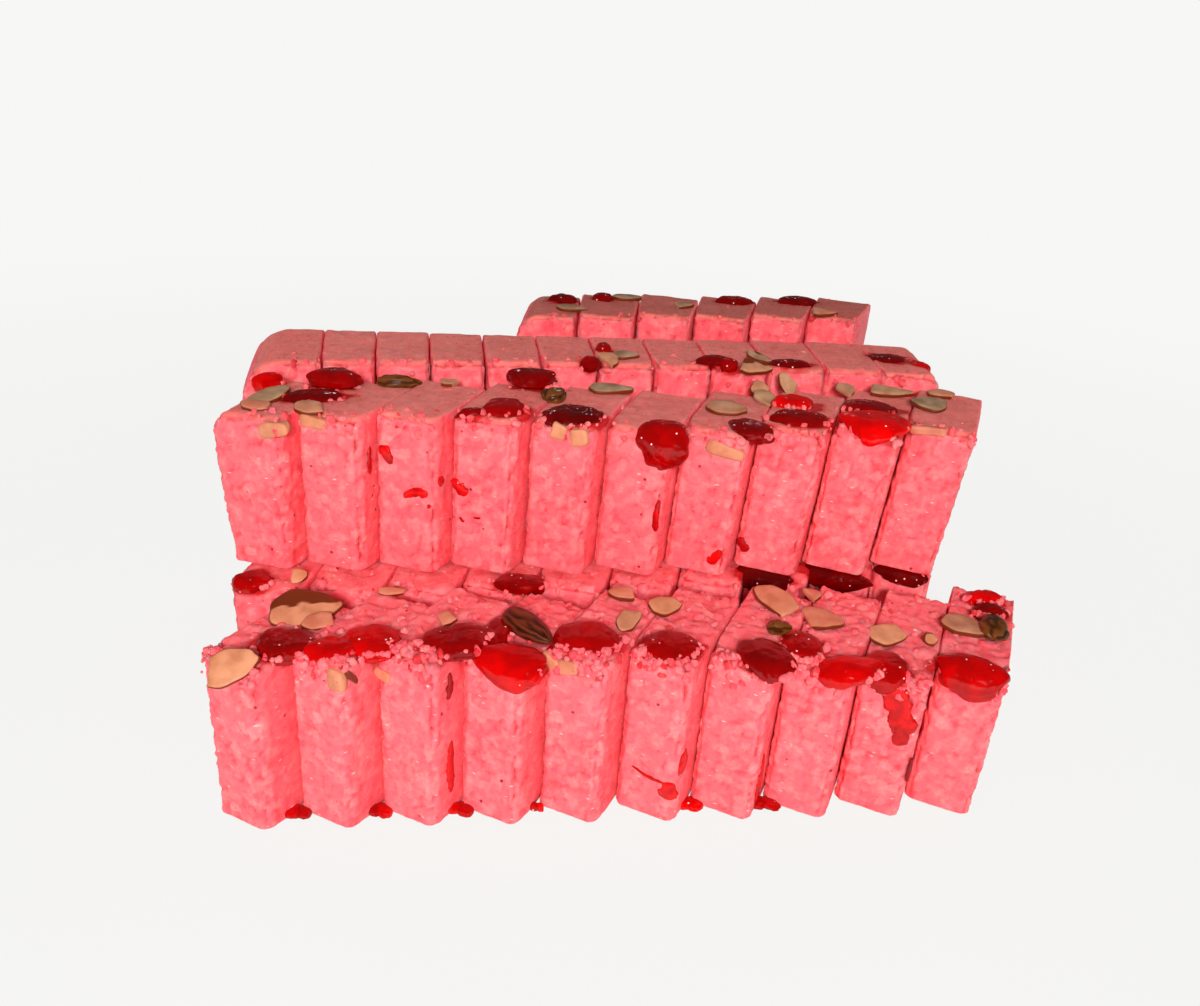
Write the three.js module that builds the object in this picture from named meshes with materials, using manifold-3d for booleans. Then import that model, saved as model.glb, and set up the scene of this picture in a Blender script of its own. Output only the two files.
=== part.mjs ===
// A block of pink coconut halwa, two tiers high, cut in slices and topped with glacé
// cherries, almonds and raisins. Each slice, with what lies on it, is one solid.
// Millimetres, +Z up. The rows run along X and the front looks towards -Y.
import * as THREE from "three";
import { mergeVertices } from "three/addons/utils/BufferGeometryUtils.js";
import Module from "manifold-3d";

const wasm = await Module();
wasm.setup();

// ---------------------------------------------------------------- driving dimensions
const SLICE_TALL = 62; // the height that a slice is cut to
const KNIFE_GAP = 0.4; // between two slices of a row
const TIER_GAP = 0.4; // between a slice and the tier that it stands on
const EDGE_ROUND = 1.3; // how far a cut edge has crumbled away
const TOP_WORN = 0.7; // share of it that a top edge has also come down
const CRAG = 0.9; // depth of the hollows between the grains
const SPARE_BLOCK_TALL = 70; // the part of the lower tier that carries the rearmost row
const RELIEF_CUT = 2.4; // depth of the knife marks in the parts that no cut goes through
const MARK_SHARE = 0.14; // share of a slice's width that half a knife mark takes
const UPPER = SLICE_TALL + TIER_GAP;

const HALWA = { color: 0xff7f87, roughness: 0.6, metalness: 0 };
const HALWA_SHADED = { color: 0xe8636c, roughness: 0.65, metalness: 0 };

// A row goes from its left slice to its right one. first and last are the plan places of
// the slices' front right corners, turn is how far each slice is turned clockwise, in
// degrees, deep is its length from front to back, and lean is how far its top is pushed
// to the right. tops holds the height at the front edge, and sag is what the back edge
// is lower. A pair stands for a steady change from the first slice to the last.
// bend carries the middle of the row back, crowd sets the slices closer at its left, and
// shoulders are the radii of the rounded top edges at the row's two ends. flare is how far
// the top of the left end bulges out.
const ROWS = [
  {
    name: "lower_front_slice",
    first: [0, 0],
    last: [243, 1],
    turn: [31, 29],
    deep: [50, 50, 50, 50, 51, 54, 58, 62, 66, 66],
    base: 0,
    tops: [64, 65, 66, 64, 65, 65, 63, 61, 58, 59],
    sag: [1, -1],
    lean: [0, 1],
    grid: [3, 4, 6],
  },
  {
    name: "lower_second_slice",
    first: [3, 52.5],
    last: [247, 70.5],
    turn: [12, 24],
    deep: 50,
    base: 0,
    tops: [62, 62, 62, 62, 62, 62, 62, 62, 62, 62],
    sag: [0, 0],
    lean: [0, 0],
    bend: -5,
    grid: [3, 4, 3],
  },
  {
    name: "upper_front_slice",
    first: [-1.7, 66],
    last: [244, 66.5],
    turn: [20, 28],
    deep: [46, 46, 46, 47, 49, 52, 55, 56.5, 57, 57],
    base: UPPER,
    tops: [59, 60, 61, 61, 60, 58.5, 58.5, 60, 60, 61],
    sag: [0, 0],
    lean: [0, 5],
    bend: -2.5,
    crowd: 0.05,
    shoulders: [8, 0],
    flare: 4.5,
    grid: [3, 4, 6],
  },
  {
    name: "upper_middle_slice",
    first: [2.3, 125],
    last: [262.4, 129],
    turn: [-7, 6],
    deep: 47,
    base: UPPER,
    tops: [63.5, 64, 64.5, 65, 65.5, 66, 66, 66, 66, 66, 66, 65],
    sag: [-2.5, -2.2, -1.8, -1.2, -0.8, -0.4, -0.4, -0.6, -0.9, -1.3, -1.6, -2],
    lean: [0, 1],
    crowd: 0.115,
    firstThick: 31.5,
    shoulders: [18, 6],
    grid: [3, 4, 3],
  },
  {
    name: "upper_rear_slice",
    first: [108, 183],
    last: [243, 185],
    turn: [7, 28],
    deep: 50,
    base: SPARE_BLOCK_TALL + TIER_GAP,
    tops: [64, 65, 66, 66, 67, 68],
    sag: [0, 0],
    lean: [0, 0],
    firstThick: 28,
    shoulders: [12, 0],
    grid: [3, 4, 3],
  },
];

// What lies on a row: [x, y, length, width, turn in degrees], the plan place first.
const CHERRIES = {
  lower_front_slice: [
    [6, 17, 20, 19, 10],
    [21, 12, 16, 14, 20],
    [34, 17, 19, 18, 0],
    [60, 16, 23, 19, 10],
    [77, 5, 24, 22, -15],
    [104, 18, 24, 18, 0],
    [131, 14, 21, 16, 5],
    [162, 10, 19, 22, 20],
    [178, 20, 17, 17, 0],
    [190, 6, 24, 15, 10],
    [204, 12, 16, 20, -30],
    [234, 8, 27, 19, -22],
    [262, 56, 15, 8, 0],
    [259, 46, 14, 9, 0],
  ],
  lower_second_slice: [
    [-14, 61, 14, 12, 0],
    [82, 61, 19, 11, 0],
    [184, 60, 26, 13, -4],
    [208, 60, 28, 12, 0],
    [238, 60, 19, 12, 4],
  ],
  upper_front_slice: [
    [6, 92, 23, 12, 3],
    [10, 107, 20, 13, 0],
    [75, 79, 17, 17, 0],
    [63, 74, 12, 7, 20],
    [100, 77, 22, 19, 0],
    [86, 111, 20, 12, 0],
    [131, 66, 22, 20, 10],
    [186, 81, 25, 15, -5],
    [188, 100, 17, 13, 0],
    [165, 72, 13, 19, 40],
    [214, 78, 26, 27, 0],
    [218, 99, 22, 15, 0],
  ],
  upper_middle_slice: [
    [110, 128, 9, 9, 0],
    [118, 150, 7, 8, 0],
    [166, 134, 20, 12, 8],
    [197, 137, 18, 10, 0],
    [247, 154, 19, 13, -10],
    [260, 148, 10, 10, 0],
  ],
  upper_rear_slice: [
    [104, 222, 15, 12, 0],
    [124, 225, 11, 10, 0],
    [192, 226, 19, 12, 0],
    [225, 227, 20, 12, 0],
  ],
};
const ALMONDS = {
  lower_front_slice: [
    [-7, 4, 18, 11, 24],
    [9, 37, 24, 15, 8],
    [16, 30, 13, 7, 12],
    [84, 25, 22, 10, -48],
    [120, 47, 13, 7, -10],
    [133, 38, 13, 8, 12],
    [119, 30, 13, 7, 52],
    [176, 44, 22, 12, -58],
    [190, 50, 8, 7, 10],
    [189, 36, 18, 11, -8],
    [214, 31, 18, 9, 12],
    [244, 35, 17, 12, -30],
    [254, 33, 15, 10, 62],
  ],
  upper_front_slice: [
    [-10, 91, 20, 9, 60],
    [35, 107, 17, 6, 0],
    [54, 108, 9, 5, 0],
    [94, 98, 11, 10, 40],
    [97, 69, 12, 8, -20],
    [117, 111, 18, 8, 0],
    [161, 95, 15, 13, -10],
    [179, 107, 9, 12, 20],
    [179, 67, 8, 6, 0],
    [154, 66, 14, 5, -20],
    [232, 114, 22, 7, -8],
    [245, 100, 14, 13, 20],
    [256, 115, 13, 6, -10],
  ],
  upper_middle_slice: [
    [119, 132, 9, 10, 20],
    [126, 139, 11, 7, 0],
    [184, 143, 12, 7, -50],
    [179, 128, 15, 9, -8],
  ],
  upper_rear_slice: [
    [107, 200, 15, 8, -10],
    [137, 226, 15, 8, 0],
    [162, 208, 12, 8, 20],
    [229, 196, 14, 8, 0],
  ],
};
const CHERRY_DOME = 6; // how far a cherry stands out of the top
const ALMOND_THICK = 2.6;
const FRONT_OVERHANG = 9; // how far a topping may hang over the front edge
const TOPPING_ZONE = 40; // height of the zone round the top that a topping may fill
const ZONE_GAP = 0.1; // what a topping's share is narrower than its slice
const SMALLEST_SHARE = 20; // mm3, a smaller share of a topping is left out
const SMALLEST_HOLD = 5; // mm3 of it that must lie in the slice

// ---------------------------------------------------------------- small helpers
const radians = THREE.MathUtils.degToRad;

// A repeatable stream of random numbers from 0 to 1.
function randomFrom(seed) {
  let state = seed * 2654435761;
  return () => {
    state = (state + 0x6d2b79f5) | 0;
    let t = Math.imul(state ^ (state >>> 15), 1 | state);
    t = (t + Math.imul(t ^ (t >>> 7), 61 | t)) ^ t;
    return ((t ^ (t >>> 14)) >>> 0) / 4294967296;
  };
}

// A setting of slice i out of count: a plain number, a pair to blend, or a full list.
function settingOf(value, i, count) {
  if (!Array.isArray(value)) return value;
  if (value.length === count) return value[i];
  return THREE.MathUtils.lerp(value[0], value[1], i / (count - 1));
}

function toSolid(geometry) {
  const plain = geometry.clone();
  plain.deleteAttribute("normal");
  plain.deleteAttribute("uv");
  const merged = mergeVertices(plain, 1e-4);
  return new wasm.Manifold(
    new wasm.Mesh({
      numProp: 3,
      vertProperties: merged.attributes.position.array,
      triVerts: new Uint32Array(merged.index.array),
    }),
  );
}

function toGeometry(solid) {
  const mesh = solid.getMesh();
  const geometry = new THREE.BufferGeometry();
  geometry.setAttribute("position", new THREE.BufferAttribute(mesh.vertProperties, 3));
  geometry.setIndex(new THREE.BufferAttribute(mesh.triVerts, 1));
  const flat = geometry.toNonIndexed();
  flat.computeVertexNormals();
  return flat;
}

// ---------------------------------------------------------------- slices
// Grid lines crowd towards the edges of a face, where the halwa crumbles.
const towardsEdges = (t) => THREE.MathUtils.smootherstep(t, 0, 1);

// Rounds a top edge that runs along Y at x = edge: inside a square of the radius, a point
// is drawn in towards the square's inner corner until the square has become a circle.
function intoShoulder(x, z, edge, side, tall, radius) {
  const across = radius - side * (edge - x);
  const up = z - (tall - radius);
  if (radius === 0 || across <= 0 || up <= 0) return [x, z];
  const share = Math.max(across, up) / Math.hypot(across, up);
  return [edge - side * (radius - across * share), tall - radius + up * share];
}

// A slice with its front right foot at 0,0,0, reaching to -X and +Y. The cut faces are
// pushed in here and there by up to CRAG, the edges are worn back, and the foot is flat.
function sliceGeometry(slice, grid, random) {
  const { thick, deep, front, back, lean, shoulders, flare } = slice;
  const geometry = new THREE.BoxGeometry(1, 1, 1, ...grid);
  geometry.deleteAttribute("normal");
  geometry.deleteAttribute("uv");
  const merged = mergeVertices(geometry);
  const position = merged.attributes.position;
  const inward = (t, on, amount) => (t === 0 ? amount : t === 1 ? -amount : 0) * on;
  for (let i = 0; i < position.count; i++) {
    const u = towardsEdges(position.getX(i) + 0.5);
    const v = towardsEdges(position.getY(i) + 0.5);
    const w = towardsEdges(position.getZ(i) + 0.5);
    const borders = [u, v, w].filter((t) => t === 0 || t === 1).length;
    const worn = borders > 1 ? EDGE_ROUND : 0;
    const tall = THREE.MathUtils.lerp(front, back, v);
    const foot = w === 0 ? 0 : 1;
    let z = w * tall - (w === 1 ? worn * TOP_WORN + CRAG * random() : 0);
    let x = (u - 1) * thick + inward(u, 1, worn + foot * CRAG * random());
    const y = v * deep + inward(v, 1, worn + foot * CRAG * random());
    [x, z] = intoShoulder(x, z, -thick, -1, tall, shoulders[0]);
    [x, z] = intoShoulder(x, z, 0, 1, tall, shoulders[1]);
    x -= flare * (1 - u) * Math.sin((w * Math.PI) / 2);
    position.setXYZ(i, x + (lean * z) / tall, y, z);
  }
  return merged;
}

// Where the slices of a row stand: corner, turn, thickness, depth and heights of each.
// A slice is as thick as fits between its own right side and the slice before it.
function layOut(row) {
  const count = row.tops.length;
  const slices = [];
  for (let i = 0; i < count; i++) {
    const share = i / (count - 1);
    const turn = radians(settingOf(row.turn, i, count));
    const bulge = share * (1 - share);
    const place = share - (row.crowd ?? 0) * bulge;
    const corner = new THREE.Vector2(...row.first).lerp(new THREE.Vector2(...row.last), place);
    corner.y += (row.bend ?? 0) * 4 * bulge;
    const along = new THREE.Vector2(Math.cos(turn), -Math.sin(turn));
    const back = new THREE.Vector2(Math.sin(turn), Math.cos(turn));
    const front = row.tops[i];
    slices.push({
      name: row.name + "_" + (i + 1),
      corner,
      turn,
      along,
      backward: back,
      deep: settingOf(row.deep, i, count),
      front,
      back: front - settingOf(row.sag, i, count),
      lean: settingOf(row.lean, i, count),
      shoulders: [0, 0],
      flare: 0,
    });
  }
  slices.forEach((slice, i) => {
    const before = slices[i - 1] ?? null;
    if (!before) return;
    const foot = slice.corner.clone().sub(before.corner);
    const rear = foot.clone().addScaledVector(before.backward, -before.deep);
    const turned = Math.cos(slice.turn - before.turn);
    const room = Math.min(
      foot.dot(slice.along),
      rear.dot(slice.along),
      foot.dot(before.along) / turned,
    );
    slice.thick = room - KNIFE_GAP - Math.max(0, before.lean - slice.lean);
  });
  slices[0].thick = row.firstThick ?? slices[1].thick;
  const [left, right] = row.shoulders ?? [0, 0];
  slices[0].shoulders[0] = left;
  slices[0].flare = row.flare ?? 0;
  slices[count - 1].shoulders[1] = right;
  return slices;
}

// ---------------------------------------------------------------- toppings
// A glacé cherry: a squashed ball, sunk in the top so that a low dome shows.
function cherrySolid(length, width) {
  const ball = new THREE.OctahedronGeometry(1, 1);
  ball.scale(length / 2, width / 2, CHERRY_DOME);
  return toSolid(ball);
}

// A sliced almond: a thin plate, pointed at one end.
function almondSolid(length, width) {
  const plate = new THREE.CylinderGeometry(1, 1, ALMOND_THICK, 6);
  plate.rotateX(Math.PI / 2);
  plate.scale(length / 2, width / 2, 1);
  return toSolid(plate);
}

// The slice with its share of each topping of the row. A topping that lies across a cut
// is cut too, so that each slice keeps the part above its own footprint.
function withToppings(body, slice, cherries, almonds) {
  const zone = [slice.thick - ZONE_GAP, slice.deep + FRONT_OVERHANG - ZONE_GAP, TOPPING_ZONE];
  const own = wasm.Manifold.cube(zone).translate([
    -slice.thick + ZONE_GAP / 2 + slice.lean,
    -FRONT_OVERHANG,
    slice.front - TOPPING_ZONE / 2,
  ]);
  let solid = body;
  const add = (topping, [x, y, , , turn], lift) => {
    const from = new THREE.Vector2(x, y).sub(slice.corner);
    const local = [from.dot(slice.along), from.dot(slice.backward)];
    const share = THREE.MathUtils.clamp(local[1] / slice.deep, 0, 1);
    const top = THREE.MathUtils.lerp(slice.front, slice.back, share);
    const placed = topping
      .rotate([0, 0, turn + THREE.MathUtils.radToDeg(slice.turn)])
      .translate([local[0] + slice.lean, local[1], top + lift])
      .intersect(own);
    if (placed.volume() < SMALLEST_SHARE) return;
    if (placed.intersect(body).volume() < SMALLEST_HOLD) return;
    solid = solid.add(placed);
  };
  cherries.forEach((c) => add(cherrySolid(c[2], c[3]), c, -CRAG));
  almonds.forEach((a) => add(almondSolid(a[2], a[3]), a, ALMOND_THICK / 2 - 2 * CRAG));
  return solid.decompose().sort((a, b) => b.volume() - a.volume())[0];
}

// ---------------------------------------------------------------- parts no cut goes through
// A stretch of the lower tier that the rest hides: one piece, with knife marks in its top
// and sides every slice's width. Its front edge runs from left y to right y.
function uncutGeometry({ left, right, frontLeft, frontRight, rear, tall, marks }, random) {
  const outline = [];
  const step = (right - left) / marks;
  const frontAt = (x) => THREE.MathUtils.mapLinear(x, left, right, frontLeft, frontRight);
  for (let i = 0; i <= marks; i++) {
    const x = left + i * step;
    const notch = i === 0 || i === marks ? EDGE_ROUND : RELIEF_CUT;
    outline.push([x, frontAt(x) + notch]);
    if (i < marks) outline.push([x + step * MARK_SHARE, frontAt(x) + CRAG * random()]);
    if (i < marks) outline.push([x + step * (1 - MARK_SHARE), frontAt(x) + CRAG * random()]);
  }
  for (let i = marks; i >= 0; i--) {
    const x = left + i * step;
    const notch = i === 0 || i === marks ? EDGE_ROUND : RELIEF_CUT;
    outline.push([x, rear - notch]);
    if (i > 0) outline.push([x - step * MARK_SHARE, rear - CRAG * random()]);
    if (i > 0) outline.push([x - step * (1 - MARK_SHARE), rear - CRAG * random()]);
  }
  const shape = new THREE.Shape(outline.map(([x, y]) => new THREE.Vector2(x, y)));
  return new THREE.ExtrudeGeometry(shape, { depth: tall, bevelEnabled: false });
}

const UNCUT = [
  {
    name: "lower_third_block",
    left: -26,
    right: 270,
    frontLeft: 109,
    frontRight: 125,
    rear: 180,
    tall: SLICE_TALL,
    marks: 12,
  },
  {
    name: "lower_rear_block",
    left: 83,
    right: 266,
    frontLeft: 181.2,
    frontRight: 181.2,
    rear: 240,
    tall: SPARE_BLOCK_TALL,
    marks: 7,
  },
];

// ---------------------------------------------------------------- the block
const block = new THREE.Group();

ROWS.forEach((row, r) => {
  const tier = new THREE.Group();
  tier.position.z = row.base;
  block.add(tier);
  layOut(row).forEach((slice, i) => {
    const random = randomFrom(100 * (r + 1) + i + 1);
    const body = toSolid(sliceGeometry(slice, row.grid, random));
    const whole = withToppings(body, slice, CHERRIES[row.name] ?? [], ALMONDS[row.name] ?? []);
    const mesh = new THREE.Mesh(toGeometry(whole), new THREE.MeshStandardMaterial(HALWA));
    mesh.name = slice.name;
    mesh.position.set(slice.corner.x, slice.corner.y, 0);
    mesh.rotation.z = -slice.turn;
    tier.add(mesh);
  });
});

UNCUT.forEach((stretch, i) => {
  const geometry = uncutGeometry(stretch, randomFrom(900 + i));
  const mesh = new THREE.Mesh(geometry, new THREE.MeshStandardMaterial(HALWA_SHADED));
  mesh.name = stretch.name;
  block.add(mesh);
});

// The part's origin is under the middle of its bounding box.
block.updateMatrixWorld(true);
const box = new THREE.Box3().setFromObject(block, true);
const middle = box.getCenter(new THREE.Vector3());
block.position.set(-middle.x, -middle.y, -box.min.z);

const halwa = new THREE.Group();
halwa.name = "halwa";
halwa.add(block);

export default halwa;
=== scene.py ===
# %% [markdown]
# # Pink coconut halwa, cut in slices and stacked two tiers high
#
# Halwa of this kind is milk, sugar and coarse coconut, cooked thick and set in a tray. It is
# cut with a long knife, so that each slice shows a matte crumb of soft grains on its cut faces
# and a drier skin on top, where candied cherries, sliced almonds and raisins are pressed in.
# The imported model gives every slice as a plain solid. This script dresses each of them with
# the crumb, and lays the toppings, the syrup and the crumbs on them.

import math

import bpy
import numpy as np
from mathutils import Matrix, Vector


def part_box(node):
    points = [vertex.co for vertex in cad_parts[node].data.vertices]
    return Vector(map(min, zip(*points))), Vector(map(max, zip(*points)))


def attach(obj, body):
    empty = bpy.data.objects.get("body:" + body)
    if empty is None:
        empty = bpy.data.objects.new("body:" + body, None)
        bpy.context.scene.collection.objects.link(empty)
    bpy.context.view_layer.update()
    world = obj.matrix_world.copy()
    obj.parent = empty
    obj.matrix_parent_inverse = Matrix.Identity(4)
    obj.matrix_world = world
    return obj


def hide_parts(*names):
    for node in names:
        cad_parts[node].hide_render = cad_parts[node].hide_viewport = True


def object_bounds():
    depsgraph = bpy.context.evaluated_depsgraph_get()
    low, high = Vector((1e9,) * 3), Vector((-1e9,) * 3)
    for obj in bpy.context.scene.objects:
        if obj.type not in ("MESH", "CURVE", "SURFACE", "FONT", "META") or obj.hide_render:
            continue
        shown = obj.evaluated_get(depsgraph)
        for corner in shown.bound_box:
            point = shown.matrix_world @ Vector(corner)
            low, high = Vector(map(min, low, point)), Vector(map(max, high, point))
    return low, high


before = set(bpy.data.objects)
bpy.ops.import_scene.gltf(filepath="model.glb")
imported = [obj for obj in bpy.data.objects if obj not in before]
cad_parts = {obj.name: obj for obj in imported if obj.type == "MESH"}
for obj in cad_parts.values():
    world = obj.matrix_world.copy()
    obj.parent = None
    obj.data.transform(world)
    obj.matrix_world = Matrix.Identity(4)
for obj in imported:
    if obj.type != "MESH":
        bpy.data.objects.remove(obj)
cad_low, cad_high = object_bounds()
MM = 0.001
print("nodes in the frame:", len(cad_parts))

# %% [markdown]
# ## Where the slices stand
#
# A slice in the frame has a flat rectangular foot, worn back by a fixed amount on all four
# sides. Its corners say where the slice stands, how far it is turned, how thick and how deep
# it is, so these numbers are measured and not written down a second time. Only the heights
# are driving sizes: the top is uneven, and the toppings hide it.

# %% Driving sizes of the rows
FOOT_WORN = 1.3  # how far the foot in the frame lies inside the true outline, in mm
ROWS = {
    # tops: height of the front edge. sag: how much lower the back edge is. lean: how far
    # the top is pushed to the right; both go evenly from number to number along the row.
    # shoulders: radii of the rounded top edges at the row's left and right end. flare: how
    # far the top of the left end bulges out. What isn't given is 0.
    "lower_front": dict(tops=[64, 65, 66, 64, 65, 65, 63, 61, 58, 59], sag=(1, -1), lean=(0, 1)),
    "lower_second": dict(tops=[62] * 10),
    "upper_front": dict(
        tops=[59, 60, 61, 61, 60, 58.5, 58.5, 60, 60, 61], lean=(0, 5), shoulders=(8, 0), flare=4.5
    ),
    "upper_middle": dict(
        tops=[63.5, 64, 64.5, 65, 65.5] + [66] * 6 + [65],
        sag=(-2.5, -2.2, -1.8, -1.2, -0.8, -0.4, -0.4, -0.6, -0.9, -1.3, -1.6, -2),
        lean=(0, 1),
        shoulders=(18, 6),
    ),
    "upper_rear": dict(tops=[64, 65, 66, 66, 67, 68], shoulders=(12, 0)),
}


def foot_of(node):
    """The slice's foot as (corner, along, backward, thick, deep, base) in mm.
    For a foot turned by less than 45 degrees the front right corner has the largest x - y,
    the front left one the largest -x - y, and the back right one the largest x + y."""
    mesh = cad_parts[node].data
    co = np.empty(len(mesh.vertices) * 3)
    mesh.vertices.foreach_get("co", co)
    co = co.reshape(-1, 3) / MM
    base = co[:, 2].min()
    foot = co[co[:, 2] < base + 0.05][:, :2]
    front_right = foot[(foot[:, 0] - foot[:, 1]).argmax()]
    front_left = foot[(-foot[:, 0] - foot[:, 1]).argmax()]
    back_right = foot[(foot[:, 0] + foot[:, 1]).argmax()]
    along, backward = front_right - front_left, back_right - front_right
    thick, deep = np.linalg.norm(along), np.linalg.norm(backward)
    along, backward = along / thick, backward / deep
    corner = front_right + FOOT_WORN * (along - backward)
    return corner, along, backward, thick + 2 * FOOT_WORN, deep + 2 * FOOT_WORN, base


TOUCH = 0.1  # mm left between two slices


class Slice:
    """One slice: its own frame has the front right foot corner at 0,0 and looks to -y."""

    def __init__(self, row, number, count):
        share = (number - 1) / (count - 1)
        sizes = dict(sag=(0, 0), lean=(0, 0), shoulders=(0, 0), flare=0) | ROWS[row]
        self.row, self.number = row, number
        self.node = f"{row}_slice_{number}"
        foot = foot_of(self.node)
        self.corner, self.along, self.backward, self.thick, self.deep, self.base = foot
        self.front, sag = sizes["tops"][number - 1], sizes["sag"]
        self.back = self.front - np.interp(share, np.linspace(0, 1, len(sag)), sag)
        self.lean = np.interp(share, (0, 1), sizes["lean"])
        left, right = sizes["shoulders"]
        self.shoulders = (left * (number == 1), right * (number == count))
        self.flare = sizes["flare"]  # of the first slice, whose left side is free
        self.before = None

    def reach_left(self, y, z):
        """How far the slice reaches to the left at depth y and height z: up to the right
        side of the slice before it, whose plane is (p - corner) . along = lean z / front."""
        right = self.lean * z / self.front
        if self.before is None:
            bulge = self.flare * np.sin(np.clip(z / self.front, 0, 1) * math.pi / 2)
            return right - self.thick - bulge
        other = self.before
        offset = (self.corner - other.corner) @ other.along
        slope = self.backward @ other.along
        limit = other.lean * z / other.front - offset - y * slope
        return limit / (self.along @ other.along) + TOUCH

    def to_local(self, plan):
        """Points in the plan, told in the slice's own frame."""
        away = np.asarray(plan, float) - self.corner
        return np.stack([away @ self.along, away @ self.backward], -1)

    def to_world(self, local):
        """Points of the slice's own frame (x, y, z above its foot), in the world's mm."""
        flat = local[:, :1] * self.along + local[:, 1:2] * self.backward + self.corner
        return np.column_stack([flat, local[:, 2] + self.base])

    def on_face(self, face, across, up, out):
        """Points told on a cut face, in the world's mm: across it to the right, up, and out
        of it. The front looks to -y and the right side to +x; both follow the lean."""
        shift = self.lean * up / self.front
        level = np.maximum(up, 0.3)  # nothing goes into the floor
        if face == "front":
            return self.to_world(np.column_stack([across + shift, -out, level]))
        return self.to_world(np.column_stack([out + shift, across, level]))

    def top(self, y):
        """Height of the top above the foot, y mm behind the front edge."""
        return np.interp(y, (0, self.deep), (self.front, self.back))


slices = []
for row, sizes in ROWS.items():
    count = len(sizes["tops"])
    slices += [Slice(row, n + 1, count) for n in range(count)]
for one, following in zip(slices, slices[1:]):
    if one.row == following.row:
        following.before = one
ORIGIN = slices[0].corner  # plan places below are told from this foot corner
print("slices:", len(slices), "each about", round(float(slices[5].thick), 1), "mm thick")

# %% [markdown]
# ## Camera
#
# The picture was taken by hand from a little above the upper tier and close by, with the
# wide lens of a phone. Distance, angles and lens come from the corners of the slices: a
# camera was fitted until the corners of both tiers fell where they are seen. The close
# stand matters, because it is what makes the rows fan out to the left and to the right.

# %% Camera
IMAGE_WIDE = 1200  # pixels
FOCAL = 935.2  # pixels
SENSOR_WIDE = 36.0  # mm
EYE = (72.14, -245.16, 230.36)  # mm from the plan's origin
TURNED = math.radians(7.007)  # clockwise from the direction of +Y
DIPPED = math.radians(23.69)
ROLLED = math.radians(-3.886)


def camera_axes(turned, dipped, rolled):
    """Right, up and forward unit vectors: forward is +Y turned clockwise and dipped, then
    right and down are rolled about it."""
    level = np.array([math.sin(turned), math.cos(turned), 0])
    forward = math.cos(dipped) * level - math.sin(dipped) * np.array([0, 0, 1])
    right = np.array([math.cos(turned), -math.sin(turned), 0])
    down = np.cross(forward, right)
    rolled_right = math.cos(rolled) * right + math.sin(rolled) * down
    rolled_down = -math.sin(rolled) * right + math.cos(rolled) * down
    return rolled_right, -rolled_down, forward


right, up, forward = camera_axes(TURNED, DIPPED, ROLLED)
eye = np.array([ORIGIN[0] + EYE[0], ORIGIN[1] + EYE[1], EYE[2]]) * MM
pose = Matrix([*zip(right, up, -forward, eye), (0, 0, 0, 1)])
camera_data = bpy.data.cameras.new("camera")
camera_data.sensor_width = SENSOR_WIDE
camera_data.lens = FOCAL / IMAGE_WIDE * SENSOR_WIDE
camera_data.clip_start = 0.01
camera = bpy.data.objects.new("camera", camera_data)
camera.matrix_world = pose
bpy.context.scene.collection.objects.link(camera)
bpy.context.scene.camera = camera
print("lens", round(camera_data.lens, 2), "mm")

# %% [markdown]
# ## Helpers for meshes and materials
#
# Every shape below is worked out as whole numpy arrays. One function turns arrays into a
# mesh object whose origin is the world's, with a named value for each vertex that the
# materials read. One function turns a colour as it is seen into the linear numbers that the
# shader wants, and one adds a node with its settings and its links.


# %% Mesh helper
def make_piece(name, vertices, faces, material, values=None):
    """A mesh object from vertices (n x 3, mm) and faces (m x 3 or 4), smooth shaded, with
    its float values stored on the vertices under their names."""
    mesh = bpy.data.meshes.new(name)
    corners = faces.shape[1]
    mesh.vertices.add(len(vertices))
    mesh.loops.add(faces.size)
    mesh.polygons.add(len(faces))
    mesh.vertices.foreach_set("co", (vertices * MM).astype(np.float32).ravel())
    mesh.loops.foreach_set("vertex_index", faces.astype(np.int32).ravel())
    mesh.polygons.foreach_set("loop_start", np.arange(0, faces.size, corners, dtype=np.int32))
    mesh.polygons.foreach_set("loop_total", np.full(len(faces), corners, np.int32))
    mesh.update(calc_edges=True)
    mesh.validate()
    mesh.polygons.foreach_set("use_smooth", np.ones(len(mesh.polygons), bool))
    for key, value in (values or {}).items():
        layer = mesh.attributes.new(key, "FLOAT", "POINT")
        layer.data.foreach_set("value", np.asarray(value, np.float32))
    mesh.materials.append(material)
    piece = bpy.data.objects.new(name, mesh)
    bpy.context.scene.collection.objects.link(piece)
    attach(piece, "root")
    return piece


def make_joined(name, parts, material):
    """One mesh object from several (vertices, faces, values): each part's faces are counted
    on from the vertices before it."""
    starts = np.cumsum([0] + [len(v) for v, _, _ in parts])
    vertices = np.concatenate([v for v, _, _ in parts])
    faces = np.concatenate([f + s for (_, f, _), s in zip(parts, starts)])
    values = {k: np.concatenate([p[2][k] for p in parts]) for k in parts[0][2]}
    make_piece(name, vertices, faces, material, values)
    print(name, "has", len(parts), "parts")


# %% Material helpers
def colour(code):
    """sRGB hex to linear: c / 12.92 below 0.04045, else ((c + 0.055) / 1.055) ** 2.4."""
    parts = [int(code[i : i + 2], 16) / 255 for i in (1, 3, 5)]
    return [c / 12.92 if c < 0.04045 else ((c + 0.055) / 1.055) ** 2.4 for c in parts] + [1.0]


def add(tree, kind, links=None, **settings):
    """A node of a kind. A setting is one of the node's own properties, or else the value of
    the input of that name or number; links say which output feeds which input."""
    node = tree.nodes.new("ShaderNode" + kind)
    for key, value in settings.items():
        name = key.replace("_", " ")
        found = [s for s in node.inputs if s.name.lower() == name and s.enabled]
        if found:
            found[0].default_value = value
        else:
            setattr(node, key, value)
    for key, output in (links or {}).items():
        tree.links.new(output, node.inputs[key])
    return node


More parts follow.
